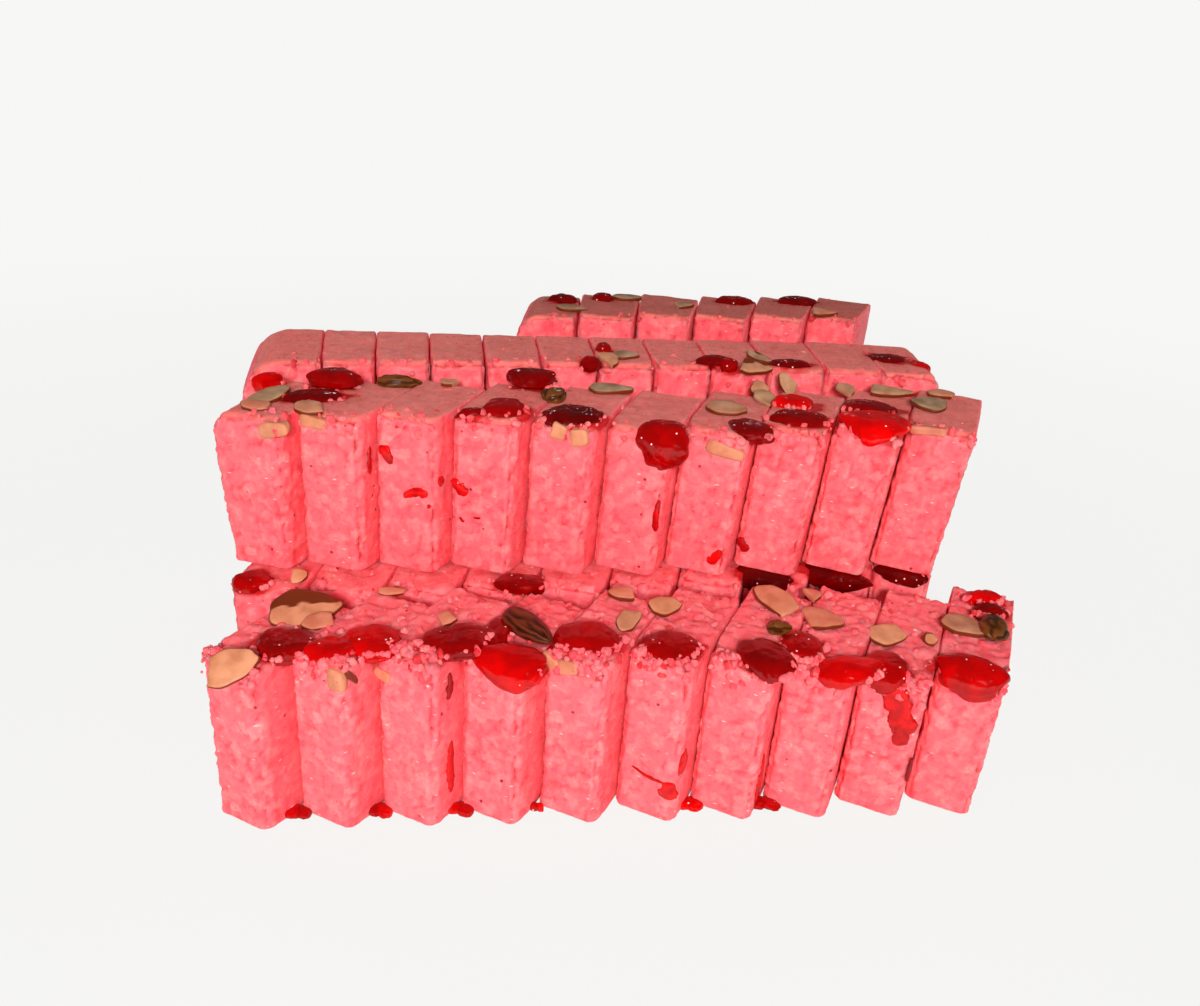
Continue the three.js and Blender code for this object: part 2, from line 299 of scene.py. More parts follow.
class Finish:
    """A material on its way: its node tree and the Principled shader that feeds the output.
    Patterns read Object coordinates, which are metres, so their sizes are metres too."""

    def __init__(self, name):
        self.material = bpy.data.materials.new(name)
        self.material.use_nodes = True
        self.tree = self.material.node_tree
        self.tree.nodes.clear()
        self.shader = self.add("BsdfPrincipled")
        self.output = self.add("OutputMaterial", {"Surface": self.shader.outputs["BSDF"]})
        self.place = self.add("TexCoord").outputs["Object"]

    def add(self, kind, links=None, **settings):
        return add(self.tree, kind, links, **settings)

    def set(self, inputs):
        """Gives inputs of the shader a number or another node's output."""
        for name, given in inputs.items():
            if isinstance(given, bpy.types.NodeSocket):
                self.tree.links.new(given, self.shader.inputs[name])
            else:
                self.shader.inputs[name].default_value = given

    def value(self, name):
        """The float value called name that a mesh keeps on its vertices."""
        return self.add("Attribute", attribute_name=name).outputs["Fac"]

    def noise(self, size, detail):
        """Soft noise, about 0.3 to 0.7, in patches of a size."""
        return self.add("TexNoise", {"Vector": self.place}, scale=1 / size, detail=detail).outputs["Fac"]

    def spread(self, value, low, high, to_low=0.0, to_high=1.0):
        """Carries a value's range low..high over to to_low..to_high, and stops at its ends."""
        node = self.add("MapRange", {"Value": value}, clamp=True)
        ends = {"From Min": low, "From Max": high, "To Min": to_low, "To Max": to_high}
        for key, number in ends.items():
            node.inputs[key].default_value = number
        return node.outputs["Result"]

    def combine(self, operation, first, second):
        return self.add("Math", {0: first, 1: second}, operation=operation).outputs[0]

    def dots(self, apart, radii, kept, place=None, channel=0):
        """1 in a dot at the heart of some cells, 0 elsewhere. radii: where a dot begins and
        ends to fade, as shares of apart. kept: a cell has one if its random number is more."""
        cells = self.add("TexVoronoi", {"Vector": place or self.place}, scale=1 / apart)
        near = self.spread(cells.outputs["Distance"], *radii, 1, 0)
        chance = self.add("SeparateColor", {0: cells.outputs["Color"]}).outputs[channel]
        return self.combine("MULTIPLY", near, self.spread(chance, *kept))

    def tint(self, first, second, value, low=0.0, high=1.0, most=1.0):
        """first, blended with second as value goes from low to high, up to the share most.
        A colour is a hex code or another node's output."""
        node = self.add("Mix", data_type="RGBA")
        self.tree.links.new(self.spread(value, low, high, 0, most), node.inputs[0])
        for socket, given in ((node.inputs[6], first), (node.inputs[7], second)):
            if isinstance(given, str):
                socket.default_value = colour(given)
            else:
                self.tree.links.new(given, socket)
        return node.outputs[2]

    def bump(self, height, strength, deep, socket="Normal"):
        """Relief in the shading alone, deep metres from its hollows to its tops."""
        node = self.add("Bump", {"Height": height}, strength=strength, distance=deep)
        self.set({socket: node.outputs["Normal"]})

    def glow(self, weight, radii, scale):
        """Light goes into it: its share, how far each colour goes, and the scale in metres."""
        self.set({"Subsurface Weight": weight, "Subsurface Radius": radii, "Subsurface Scale": scale})


# %% [markdown]
# ## Materials
#
# ** Coconut halwa.** Grains of coconut and milk solids, soaked in pink syrup. Light goes a
# few millimetres into it, red furthest, so that shaded sides and the hollows between grains
# glow in a deeper red than the faces; the colour adds painted shade there as well, a deeper
# red in the hollows between grains. The mesh keeps, for each vertex, how high it lies on
# its grain, a random number of that grain, how red it is with cherry juice and with painted
# shade in the deepest notches of the front's edges, how much of it is the top's skin, partly
# a drier, browner skin and partly painted shade of the low light on the tops, and how much
# painted seam shade it has: the cut sides that stood against another slice are painted a
# deeper red. A **loose crumb** is too small to glow, so light hardly goes into it.

# %% Coconut halwa
FINE_GRAIN = 1.6 * MM  # the smallest grains that show
BLOTCH = 4.2 * MM  # paler patches of coconut
SMEAR = 9 * MM  # patches where the knife has smeared the crumb
FLECKS_APART = 7 * MM  # specks of cherry skin
MOIST_SPOT = 1.4 * MM  # spots that syrup keeps moist
PAINTED_GLINTS_APART = 2.0 * MM  # painted glints: short near-white dashes that stand for glints on moist crumb
PAINTED_GLINT_STRETCH = (0.3, 0.3, 1.0)  # the painted glints run level, so they are longer across than in height
DIMPLE = 0.9 * MM  # the unevenness between grains


def coconut_halwa(name, glow, shine):
    """The crumb's finish. glow is how far red light goes into it, in metres, and shine
    how much it mirrors."""
    finish = Finish(name)
    tint = finish.tint
    grain, speck, juice_and_pit_shade, top_skin_and_shade, seam_shade_and_tone = map(finish.value, ("grain", "speck", "juice_and_pit_shade", "top_skin_and_shade", "seam_shade_and_tone"))
    blotch = finish.noise(BLOTCH, 2)
    fine = finish.add("TexVoronoi", {"Vector": finish.place}, scale=1 / FINE_GRAIN)
    drawn_out = finish.add("VectorMath", {0: finish.place}, operation="MULTIPLY")
    drawn_out.inputs[1].default_value = PAINTED_GLINT_STRETCH
    painted_glints = finish.dots(PAINTED_GLINTS_APART, (0.06, 0.13), (0.45, 0.5), drawn_out.outputs[0], 1)
    flecks = finish.dots(FLECKS_APART, (0.07, 0.1), (0.55, 0.6))
    # painted shade: the crumb is a deeper red in the hollows between its grains than on their domes, and
    # a little deeper again between the fine grains
    flesh = tint("#D82636", "#F86E76", grain, 0.05, 0.7)
    flesh = tint(flesh, "#FF9F9C", speck, 0.7, 1, 0.5)
    flesh = tint(flesh, "#FA626E", finish.noise(SMEAR, 3), 0.45, 0.7, 0.35)
    flesh = tint(flesh, "#FF9E9A", blotch, 0.48, 0.7, 0.5)
    flesh = tint(flesh, "#F25560", fine.outputs["Distance"], 0.3, 0.75, 0.25)
    # painted seam shade: the cut sides that stand against the next slice are painted a deeper red
    flesh = tint(flesh, "#F0404C", seam_shade_and_tone, most=0.3)
    # painted highlight: near-white glint dashes in the crumb's colour
    flesh = tint(flesh, "#FFDAD4", painted_glints, most=0.75)
    flesh = tint(flesh, "#A01220", flecks)
    # the top's skin: partly a drier, browner crumb and partly painted shade of the low light on the tops
    skin = tint("#C4564E", "#EC8478", grain, 0, 0.8)
    skin = tint(skin, "#DA7068", blotch, 0.4, 0.65, 0.6)
    # above 1, as on the rear row, the skin is painted darker still: painted shade
    skin = tint(skin, "#8E3A30", top_skin_and_shade, 1, 1.6)
    flesh = tint(flesh, skin, top_skin_and_shade)
    # cherry juice under the cherries, and painted shade in the deepest notches of the front's edges
    flesh = tint(flesh, "#C00A0E", juice_and_pit_shade, most=0.92)
    rough = finish.spread(finish.noise(MOIST_SPOT, 1), 0.6, 0.68, 0.52, 0.2)
    rough = finish.combine("SUBTRACT", rough, finish.spread(juice_and_pit_shade, 0, 1, 0, 0.3))
    finish.set({"Base Color": flesh, "Roughness": rough, "IOR": 1.45, "Specular IOR Level": shine})
    finish.glow(1.0, (1.0, 0.25, 0.22), glow)
    finish.bump(finish.noise(DIMPLE, 2), 0.4, 0.3 * MM)
    return finish.material


HALWA = coconut_halwa("coconut_halwa", 3.2 * MM, 0.4)
LOOSE_CRUMB = coconut_halwa("loose_crumb", 0.4 * MM, 0.08)

# %% [markdown]
# ** Glacé cherry.** A stoned cherry boiled in syrup until sugar has replaced its juice. It is
# glassy, deep red where it is thick and bright red where light comes through, with a sticky
# gloss and a few painted glints: tiny near-white dots in its colour. **Cherry syrup** is the
# same juice where it has run down a face and set.


# %% Cherry, syrup
GLINT_DOTS_APART = 3.0 * MM  # painted glints: tiny near-white dots on the fruit


def glace_cherry():
    finish = Finish("glace_cherry")
    bright = finish.value("bright")
    thin, thick = finish.tint("#5C0000", "#D80000", bright), finish.tint("#3C0000", "#A80000", bright)
    flesh = finish.tint(thin, thick, finish.noise(7 * MM, 2), 0.4, 0.62, 0.6)
    painted_glint_dots = finish.dots(GLINT_DOTS_APART, (0.08, 0.12), (0.5, 0.54), channel=1)
    # painted highlight: near-white glint dots in the cherry's colour
    finish.set({"Base Color": finish.tint(flesh, "#FFE4DC", painted_glint_dots), "Roughness": 0.3})
    finish.set({"Specular IOR Level": 0.0, "Coat Weight": 0.8, "Coat Roughness": 0.05})
    finish.glow(0.3, (1.0, 0.06, 0.05), 2 * MM)
    finish.bump(finish.noise(2.4 * MM, 1), 0.6, 0.8 * MM, "Coat Normal")
    return finish.material


def cherry_syrup():
    finish = Finish("cherry_syrup")
    wet = finish.tint("#E80A0A", "#B80408", finish.noise(3 * MM, 2), 0.35, 0.65)
    wet = finish.tint("#6E0206", wet, finish.value("bright"))
    finish.set({"Base Color": wet, "Roughness": 0.14, "IOR": 1.47})
    finish.glow(0.4, (1.0, 0.1, 0.1), 2 * MM)
    return finish.material


CHERRY, SYRUP = glace_cherry(), cherry_syrup()

# %% [markdown]
# ** Sliced almond.** Waxy flesh with a thin line of brown skin left round the edge of each
# slice. Some slices are fresh and tan, some stained rosy by the halwa, and some greyish: that
# grey is partly a tired nut and partly painted shade of the low light on the upper tops.
# **Almond skin** is a dark brown, finely ridged along the nut. **Raisin**: a golden
# one, brown and glossy with syrup.


# %% Almond, almond skin, raisin
def sliced_almond():
    finish = Finish("sliced_almond")
    cloud = finish.noise(5 * MM, 3)
    fresh, tired_and_shaded, rosy = (
        finish.tint(dark, light, cloud, 0.35, 0.65)
        for dark, light in (("#BE7652", "#D68F6A"), ("#8C6A50", "#B0906E"), ("#C0664E", "#D07E64"))
    )
    # the greyish tone is partly a tired nut and partly painted shade of the low light on the upper tops
    flesh = finish.tint(fresh, tired_and_shaded, finish.value("grey_and_shade"))
    flesh = finish.tint(flesh, rosy, finish.value("rosy"))
    flesh = finish.tint(flesh, "#70290C", finish.value("skin"), 0.35, 0.75)
    finish.set({"Base Color": flesh, "Roughness": 0.36, "IOR": 1.46})
    finish.glow(0.35, (1.0, 0.6, 0.35), 1.2 * MM)
    finish.bump(cloud, 0.3, 0.5 * MM)
    return finish.material


def ridged_skin(name, dark, light, gloss):
    """Brown skin with ridges: dark in the hollows, light on the ridges."""
    finish = Finish(name)
    ridged = finish.tint(dark, light, finish.value("grain"), 0.1, 0.9)
    finish.set({"Base Color": ridged, "Roughness": gloss, "IOR": 1.45})
    finish.set({"Coat Weight": 0.3, "Coat Roughness": 0.12})
    return finish.material


ALMOND = sliced_almond()
ALMOND_SKIN = ridged_skin("almond_skin", "#2A0803", "#6E2A10", 0.42)
RAISIN = ridged_skin("golden_raisin", "#3A1A06", "#6A3A10", 0.2)

# %% [markdown]
# ## Crumb relief
#
# The crumb is a packing of soft, uneven grains. Cellular noise gives that: space is cut in
# cubes, each cube holds one grain at a random place and with a random long axis, and the
# height at a point is the dome of the nearest grain. Two sizes are added, about 4 mm for
# the clumps and 2 mm for the grains, and a slow swell for the hand that pressed it.


# %% Noise on whole arrays
def hashed(cells, salt):
    """A random number from 0 to 1 for each integer cell: sin of a dot product, scaled up,
    keeping the fraction."""
    mixed = cells @ np.array([12.9898, 78.233, 37.719]) + salt * 17.137
    return np.modf(np.abs(np.sin(mixed)) * 43758.5453)[0]


def grains(points, size, salt):
    """Dome height (0..1) of the nearest grain, and that grain's random number.
    A grain in cell c lies at c + jitter and has a long axis a; its distance to p is
    |d|^2 - 0.5 (d . a)^2 with d = p - grain, and the dome is 1 - distance / 0.62."""
    scaled = points / size
    cell = np.floor(scaled)
    best = np.full(len(points), 9.0)
    number = np.zeros(len(points))
    for step in np.ndindex(3, 3, 3):
        other = cell + (np.array(step) - 1)
        jitter = np.stack([hashed(other, salt + k) for k in (1, 2, 3)], -1)
        angle = hashed(other, salt + 4) * 2 * math.pi
        tilt = hashed(other, salt + 5) * 2 - 1
        flat = np.sqrt(1 - tilt**2)
        axis = np.stack([flat * np.cos(angle), flat * np.sin(angle), tilt], -1)
        away = scaled - other - 0.15 - 0.7 * jitter
        distance = (away**2).sum(1) - 0.5 * (away * axis).sum(1) ** 2
        nearer = distance < best
        best = np.where(nearer, distance, best)
        number = np.where(nearer, jitter[:, 0], number)
    return np.clip(1 - best / 0.62, 0, 1), number


def swell(points, size, salt):
    """Smooth noise from -1 to 1: random numbers on a cubic lattice, blended by
    3 t^2 - 2 t^3 between its corners."""
    scaled = points / size
    cell = np.floor(scaled)
    part = scaled - cell
    part = part * part * (3 - 2 * part)
    total = np.zeros(len(points))
    for step in np.ndindex(2, 2, 2):
        corner = np.array(step)
        weight = np.prod(np.where(corner, part, 1 - part), axis=1)
        total += weight * hashed(cell + corner, salt)
    return total * 2 - 1


# %% [markdown]
# ## A slice's surface
#
# A slice is a block with rounded edges. Its surface is the shell of a lattice of points:
# each point is pulled back to an inner box that is smaller by the edge radius, and pushed
# out again along its own direction, which rounds edges and corners in one formula. The
# relief then moves each point along its normal. Inwards it may go deep, outwards hardly at
# all, because the next slice is a tenth of a millimetre away.


# %% Lattice shell
def shell(size, spacing):
    """The points of a box's surface lattice, from 0 to size, and its outward quads. Each of
    the six sides is the same lattice square in two directions, turned to face out."""
    counts = [max(2, round(length / spacing)) for length in size]
    index = np.full([n + 1 for n in counts], -1)
    grid = np.stack(np.meshgrid(*[np.arange(n + 1) for n in counts], indexing="ij"), -1)
    outer = ((grid == 0) | (grid == np.array(counts))).any(-1)
    index[outer] = np.arange(outer.sum())
    quads = []
    for axis, flips in ((0, True), (1, False), (2, True)):
        for end in (0, -1):
            side = np.take(index, end, axis=axis)
            a, b, c, d = side[:-1, :-1], side[1:, :-1], side[1:, 1:], side[:-1, 1:]
            ring = (a, d, c, b) if flips == (end == 0) else (a, b, c, d)
            quads.append(np.stack([corner.ravel() for corner in ring], -1))
    return grid[outer] / np.array(counts) * np.array(size), np.concatenate(quads)


def rounded(points, size, radii, foot_radius):
    """Each lattice point q is held to the inner box, c = clip(q, r, size - r), and set on
    the ellipsoid round it, c + u r with u the unit vector of (q - c) / r. The normal is
    the unit vector of u / r. The foot's edge has its own, smaller, upright radius, and the
    radius across falls to SEAM_ROUND behind the front edge."""
    reach = np.tile(np.array(radii), (len(points), 1))
    reach[:, 0] = np.interp(points[:, 1], (radii[1], radii[1] + 5), (radii[0], SEAM_ROUND))
    low, high = reach.copy(), np.array(size) - reach
    low[:, 2] = foot_radius
    centre = np.clip(points, low, high)
    reach[points[:, 2] < foot_radius, 2] = foot_radius
    unit = (points - centre) / reach
    unit /= np.linalg.norm(unit, axis=1, keepdims=True)
    normal = unit / reach
    normal /= np.linalg.norm(normal, axis=1, keepdims=True)
    return centre + unit * reach, normal, unit


# %% Crumb on a block
CLUMP = 3.7  # mm, size of the larger grains
GRAIN = 1.9  # mm, size of the smaller ones
SWELL = 13.0  # mm, size of the slow unevenness
EDGE = (3.4, 4.2, 3.2)  # mm, how far an edge is rounded across, in depth and in height
FIRM_EDGE = (1.4, 3.6, 3.2)  # the same in the rows behind, which stand close together
SEAM_ROUND = 0.5  # mm, the same across an edge that stands against the next slice
TORN = 4.6  # mm, size of the lumps that tear out of an edge
RAGGED = 3.6  # mm, size of the notches along an upright edge
FOOT_EDGE = 1.5  # mm, rounding of the foot's edge
FULL_EDGE = 0.29  # what edge below comes to on an edge, 0.42 at a corner and 0 on a face
CRUMBLES = 7  # mm from the top down, the part that crumbles most
SEAM_FROM = 7  # mm behind the front face, where neighbours begin to press on each other
OUT_MOST = 0.15  # mm that the relief may stand out
PIT_SHADE_BELOW = 0.47  # notches with a lower dome are painted a deeper red: painted shade in the pits


def crumbed(size, spacing, seed, place, rough_top=1.0, crumbly=0.3, edge_round=EDGE):
    """A crumb-covered block: vertices in its own frame (0..size), quads, values.
    place moves the noise, so that no two slices look alike, rough_top says how deep the
    lumps of the top are, and crumbly how much its front edge has fallen apart."""
    points, quads = shell(size, spacing)
    surface, normal, unit = rounded(points, size, edge_round, FOOT_EDGE)
    at = surface + place
    clump, number = grains(at, CLUMP, seed)
    grain, _ = grains(at, GRAIN, seed + 40)
    slow = swell(at, SWELL, seed + 80)
    lump, _ = grains(at, TORN, seed + 120)
    notch, _ = grains(at, RAGGED, seed + 160)
    edge = np.clip((1 - np.abs(unit).max(1)) / FULL_EDGE, 0, 1)
    sideways = np.abs(unit[:, 0])
    lifted = np.clip(surface[:, 2] / 3, 0, 1)  # nothing moves at the foot
    upward = np.clip(normal[:, 2], 0, 1)
    pressed = np.abs(normal[:, 0]) * np.clip((surface[:, 1] - 12) / 6, 0, 1)  # side by side
    crest = np.clip((surface[:, 2] - size[2] + CRUMBLES) / CRUMBLES, 0, 1)
    seam = np.clip(sideways / 0.5, 0, 1) * np.clip((surface[:, 1] - SEAM_FROM) / 6, 0, 1)
    torn = edge * (0.35 + (0.9 + 2 * crumbly) * crest) * (1 - 0.85 * seam)
    upright = edge * (normal[:, 1] < 0)  # the front face's own edges
    lumpy = max(rough_top - 1, 0)  # a top of lumps, against one that has a skin
    depth = (1.35 + 0.4 * torn + 0.5 * crest - 0.7 * pressed) * (1 - upward) * (1 - 0.8 * seam)
    depth += 1.3 * lumpy * upward
    height = 0.62 * clump + 0.38 * grain
    move = -depth * (1 - height) + 0.3 * slow - torn * (1 - lump)
    move -= 1.6 * upright * (1 - notch) + 1.4 * lumpy * upward * (1 - lump)
    skin = 0.5 - 0.3 * swell(at, 6.0, seed + 200) - 0.2 * swell(at, 2.7, seed + 240)
    move -= rough_top * (1 - min(lumpy, 1)) * upward * skin
    move = np.minimum(move, OUT_MOST) * lifted
    moved = surface + normal * move[:, None]
    values = {
        "grain": np.clip(0.55 * clump + 0.45 * grain + 0.15 * slow, 0, 1),
        "speck": number,
        # painted shade in the deepest notches of the front face's edges, a deeper red
        "juice_and_pit_shade": 0.9 * upright * np.clip((PIT_SHADE_BELOW - notch) / 0.1, 0, 1),
        # how much of the top's skin it has, partly painted shade of the low light on the tops
        "top_skin_and_shade": upward**2,
        # painted seam shade on the cut sides behind the front, where the next slice stands close
        "seam_shade_and_tone": sideways * (1 - upward) * np.clip((surface[:, 1] - 3) / 9, 0, 1),
    }
    return moved, quads, values


# %% [markdown]
# ## What lies on the tops
#
# The toppings that the solids carry in plain form, and a few more, told in millimetres of
# the plan from the first slice's foot corner, with what shows in the finish alone: how
# bright a cherry is, and how stained or grey an almond, a grey that is partly painted shade.

# %% Places of the toppings
# x, y, length, width, turn in degrees, brightness, and how far it is sunk, in mm
CHERRIES = {
    "lower_front": [
        (6, 17, 20, 19, 10, 0.3, 0), (21, 12, 16, 14, 20, 0.75, 0.4), (34, 17, 19, 18, 0, 0.75, 0),
        (60, 16, 23, 19, 10, 0.28, 0), (77, 6, 24, 19, -15, 0.8, 0), (74, 23, 9, 20, -10, 0.3, 0),
        (104, 18, 24, 18, 0, 0.5, 0), (131, 14, 21, 16, 5, 0.35, 0.4), (162, 10, 19, 22, 20, 0.24, 0),
        (178, 20, 17, 17, 0, 0.4, 0), (190, 6, 24, 15, 10, 0.85, 0), (204, 12, 16, 20, -30, 0.5, 0.3),
        (234, 8, 27, 19, -22, 0.65, 0), (262, 56, 15, 8, 0, 0.95, 0), (259, 46, 14, 9, 0, 0.15, 0),
    ],
    "lower_second": [
        # the last three, at the foot of the upper row, have brightness near 0: their near-black is partly
        # their own deep red and partly painted shade of the upper row over them
        (-14, 61, 14, 12, 0, 0.45, 0), (82, 61, 19, 11, 0, 0.25, 0), (177, 70, 24, 14, -22, 0.0, 0.8),
        (207, 72, 27, 14, -22, 0.05, 0.8), (236, 75.5, 20, 12, -23, 0.05, 0.8),
    ],
    "upper_front": [
        (6, 92, 23, 12, 3, 0.08, 0), (10, 107, 20, 13, 0, 0.3, -4), (-14, 108, 12, 6, 30, 0.8, -1.5),
        (75, 80, 17, 17, 0, 0.35, 0), (63, 75, 12, 7, 20, 0.2, 1.2), (100, 77, 22, 19, 0, 0.05, 0),
        (86, 111, 20, 12, 0, 0.15, -3.5), (131, 65, 22, 21, 10, 0.45, -0.5),
        (186, 81, 25, 15, -5, 0.25, 0), (188, 100, 17, 13, 0, 0.95, -0.5),
        (165, 72, 13, 19, 40, 0.2, 0.2), (214, 78, 26, 27, 0, 1.0, -0.6), (218, 97, 22, 16, 0, 0.25, 0),
    ],
    "upper_middle": [
        (110, 129, 9, 9, 0, 0.25, 0.6), (118, 150, 7, 8, 0, 0.3, 0), (163, 136, 16, 10, 8, 0.15, 0),
        (169, 132, 9, 9, 0, 0.35, 0), (197, 137, 18, 10, 0, 0.1, 0.8), (247, 154, 19, 13, -10, 0.12, 1.5),
        (260, 148, 10, 10, 0, 0.8, 2.2),
    ],
    "upper_rear": [
        (104, 222, 15, 12, 0, 0.1, 0), (124, 225, 11, 10, 0, 0.2, 0), (192, 226, 19, 12, 0, 0.15, 0),
        (225, 227, 20, 12, 0, 0.1, 0),
    ],
}
# x, y, length, width, turn, forward tilt and lift, straight breaks in the outline, and the
# shares of brown skin, of greyness (partly painted shade) and of rosy stain
ALMONDS = {
    "lower_front": [
        (-7, 4, 18, 11, 24, 42, -0.6, 1, 0, 0.05, 0), (9, 37, 24, 15, 8, 22, 1.6, 0, 0.46, 0, 0.15),
        (16, 30, 13, 7, 12, 20, 0.6, 1, 0, 0, 0.75), (37, 49, 11, 3, 0, 40, 0.4, 1, 0.1, 0, 0.9),
        (57, 28, 9, 5, 20, 30, 0.6, 2, 0, 0, 1), (120, 47, 13, 7, -10, 6, 0.5, 2, 0, 0, 0.6),
        (133, 38, 13, 8, 12, 18, 0.9, 1, 0, 0, 0), (119, 30, 13, 7, 52, 20, 0.7, 1, 0, 0.3, 0.2),
        (176, 44, 22, 12, -58, 12, 0.9, 1, 0.1, 0, 0.5), (190, 50, 8, 7, 10, 8, 0.5, 2, 0, 0, 1),
        (189, 36, 18, 11, -8, 10, 0.9, 1, 0, 0, 0.8), (214, 31, 18, 9, 12, 18, 0.6, 1, 0, 0.1, 0),
        (244, 35, 17, 12, -30, 4, 0.5, 0, 0, 0.6, 0.25), (228, 28, 6, 5, 30, 20, 0.4, 1, 0.3, 0, 0),
    ],
    "lower_second": [(1, 64, 8, 6, 10, 35, 0.2, 2, 0, 0, 0)],
    "upper_front": [
        (-10, 90, 20, 9, 55, 10, 0.8, 0, 0, 0.85, 0), (-11, 79, 13, 6, -8, 14, 0.3, 1, 0, 0.3, 0.7),
        (8, 76, 13, 8, -8, 14, 0.3, 1, 0, 0.5, 0.4), (54, 108, 9, 5, 0, 6, 0.4, 2, 0, 0.6, 0.3),
        (117, 110, 18, 9, 0, 5, 0.5, 0, 0, 1, 0), (161, 94, 16, 13, -10, 6, 0.6, 0, 0, 0.35, 0.1),
        (179, 106, 9, 11, 20, 22, 1.2, 1, 0, 0.75, 0), (180, 117, 9, 7, -20, 40, 1.6, 1, 0.2, 0.3, 0),
        (192, 119, 8, 10, 20, 55, 2.6, 1, 0, 0.6, 0), (233, 115, 22, 6, -8, 22, 1.6, 1, 0, 0.7, 0),
        (216, 117, 8, 8, 30, 25, 1.2, 1, 0, 0.75, 0.2), (245, 99, 15, 13, 20, 6, 0.6, 0, 0, 1, 0),
        (257, 114, 13, 6, -10, 12, 0.5, 1, 0, 0.6, 0.5),
    ],
    "upper_middle": [
        (118, 132, 9, 11, 20, 15, 0.4, 2, 0, 0.25, 0.1), (126, 139, 11, 7, 0, 8, 0.5, 0, 0, 0.95, 0),
        (185, 143, 13, 6, -50, 10, 0.3, 0, 0.3, 0.8, 0), (179, 128, 15, 9, -8, 24, 0.6, 1, 0.4, 0.4, 0),
    ],
    "upper_rear": [
        (107, 200, 15, 8, -10, 4, 0.5, 0, 0.2, 0.8, 0), (137, 226, 15, 8, 0, 4, 0.5, 0, 0.3, 1, 0),
        (162, 208, 12, 8, 20, 4, 0.5, 1, 0, 0.8, 0), (229, 196, 14, 8, 0, 10, 0.5, 1, 0, 0.3, 0.5),
    ],
}
# x, y, length, width, turn in degrees
NUTS = {"lower_front": [(84, 25, 22, 10, -48)]}
RAISINS = {
    "lower_front": [(254, 33, 15, 10, 62), (171, 26, 9, 5, 0)],
    "upper_front": [(35, 107, 17, 6, 0), (94, 97, 11, 9, 50)],
}
# Splinters of almond pressed into a cut face: number of the slice, face, place (across, up)
# on it, length, width and turn in it, shares of brown skin, of greyness (partly painted shade) and of
# rosy stain
SPLINTERS = {
    "upper_front": [
        (1, "front", -2.5, 55.0, 11, 5.5, 12, 0, 0.05, 0.2),
        (2, "front", -17.5, 56.6, 10, 4.6, -6, 0, 0, 0.1),
        (5, "front", -13.4, 56.6, 6.2, 6.0, -12, 0, 0, 0),
        (5, "front", -5.6, 55.6, 6.4, 6.6, 14, 0, 0, 0),
        (8, "front", -21.0, 56.4, 7.0, 4.2, -4, 0, 0.1, 0.5),
        (7, "front", -8.3, 51.6, 15, 5.0, -10, 0, 0, 0.45),
        (10, "front", -17.5, 59.4, 13, 3.4, 6, 0, 0.1, 0.75),
    ],
    "lower_front": [
        (2, "front", -3.4, 59.6, 6.4, 8.0, 6, 0, 0, 0.25),
        (2, "right", 4.4, 59.4, 8.0, 1.8, -52, 1, 0, 0),
        (3, "front", -19.4, 56.4, 6.4, 4.0, -22, 0, 0, 0.7),
        (5, "front", -20.6, 60.6, 7.0, 4.6, -14, 0, 0, 0.25),
        (5, "front", -14.0, 60.4, 7.0, 4.6, 10, 0, 0, 0.45),
    ],
}


def carrier(row, x, y):
    """The slice of a row that a plan place lies on, or the nearest one: the one whose
    outline it oversteps least."""
    place = ORIGIN + (x, y)
    mine = [s for s in slices if s.row == row]

    def overstep(s):
        a, b = s.to_local(place)
        return max(a - s.lean, -s.thick - a + s.lean, 0) + max(-b, b - s.deep, 0)

    return min(mine, key=overstep)


# %% [markdown]
# ## The slices
#
# Each slice replaces its own solid. Cherry juice is a value on the vertices: it is strong
# under a cherry, fades within a few millimetres of its rim, and reaches a little way down
# the front face where a cherry lies at the edge.

# %% Slices
# In the order of ROWS: mm between the lattice's points, how brown the top skin is, which is
# partly a drier skin and partly painted shade of the low light, strongest in the upper rows,
# and how deep the lumps of the top are.
SPACING = dict(zip(ROWS, (0.9, 1.6, 0.9, 1.1, 1.1)))
TOP_SKIN_AND_SHADE = dict(zip(ROWS, (0.08, 0.12, 0.82, 0.86, 1.25)))
ROUGH_TOP = dict(zip(ROWS, (2.1, 1.9, 0.9, 0.8, 0.8)))
JUICE_REACH = 2.2  # mm round a cherry


def juice_near(body, local):
    """1 under a cherry, falling to 0 at JUICE_REACH outside its rim, in the top 9 mm."""
    total = np.zeros(len(local))
    uneven = swell(local + body.number * 31.7, 3.0, 5) * 1.5
    for x, y, length, width, turn, _, _ in CHERRIES[body.row]:
        a, b = body.to_local(ORIGIN + (x, y))
        if not (-60 < a < 40 and -30 < b < body.deep + 30):
            continue
        angle = math.radians(turn) + math.atan2(-body.along[1], body.along[0])
        dx, dy = local[:, 0] - a - body.lean, local[:, 1] - b
        u = (dx * math.cos(angle) + dy * math.sin(angle)) / (length / 2)
        v = (-dx * math.sin(angle) + dy * math.cos(angle)) / (width / 2)
        rim = (np.hypot(u, v) - 1) * width / 2
        depth = np.clip(body.top(local[:, 1]) - local[:, 2] - 2, 0, 99)
        total = np.maximum(total, np.clip(1 - (rim + uneven + 1.5 * depth) / JUICE_REACH, 0, 1))
    return total


def into_shoulder(x, z, tall, radius):
    """Rounds a top edge at x = 0: in a square of the radius, a point whose distances from
    the square's inner corner are a and b is drawn in by max(a, b) / hypot(a, b)."""
    across, up = radius - x, z - (tall - radius)
    inside = (across > 0) & (up > 0)
    share = np.maximum(across, up) / np.maximum(np.hypot(across, up), 0.01)
    share = np.where(inside, share, 1.0)
    return radius - across * share, tall - radius + up * share


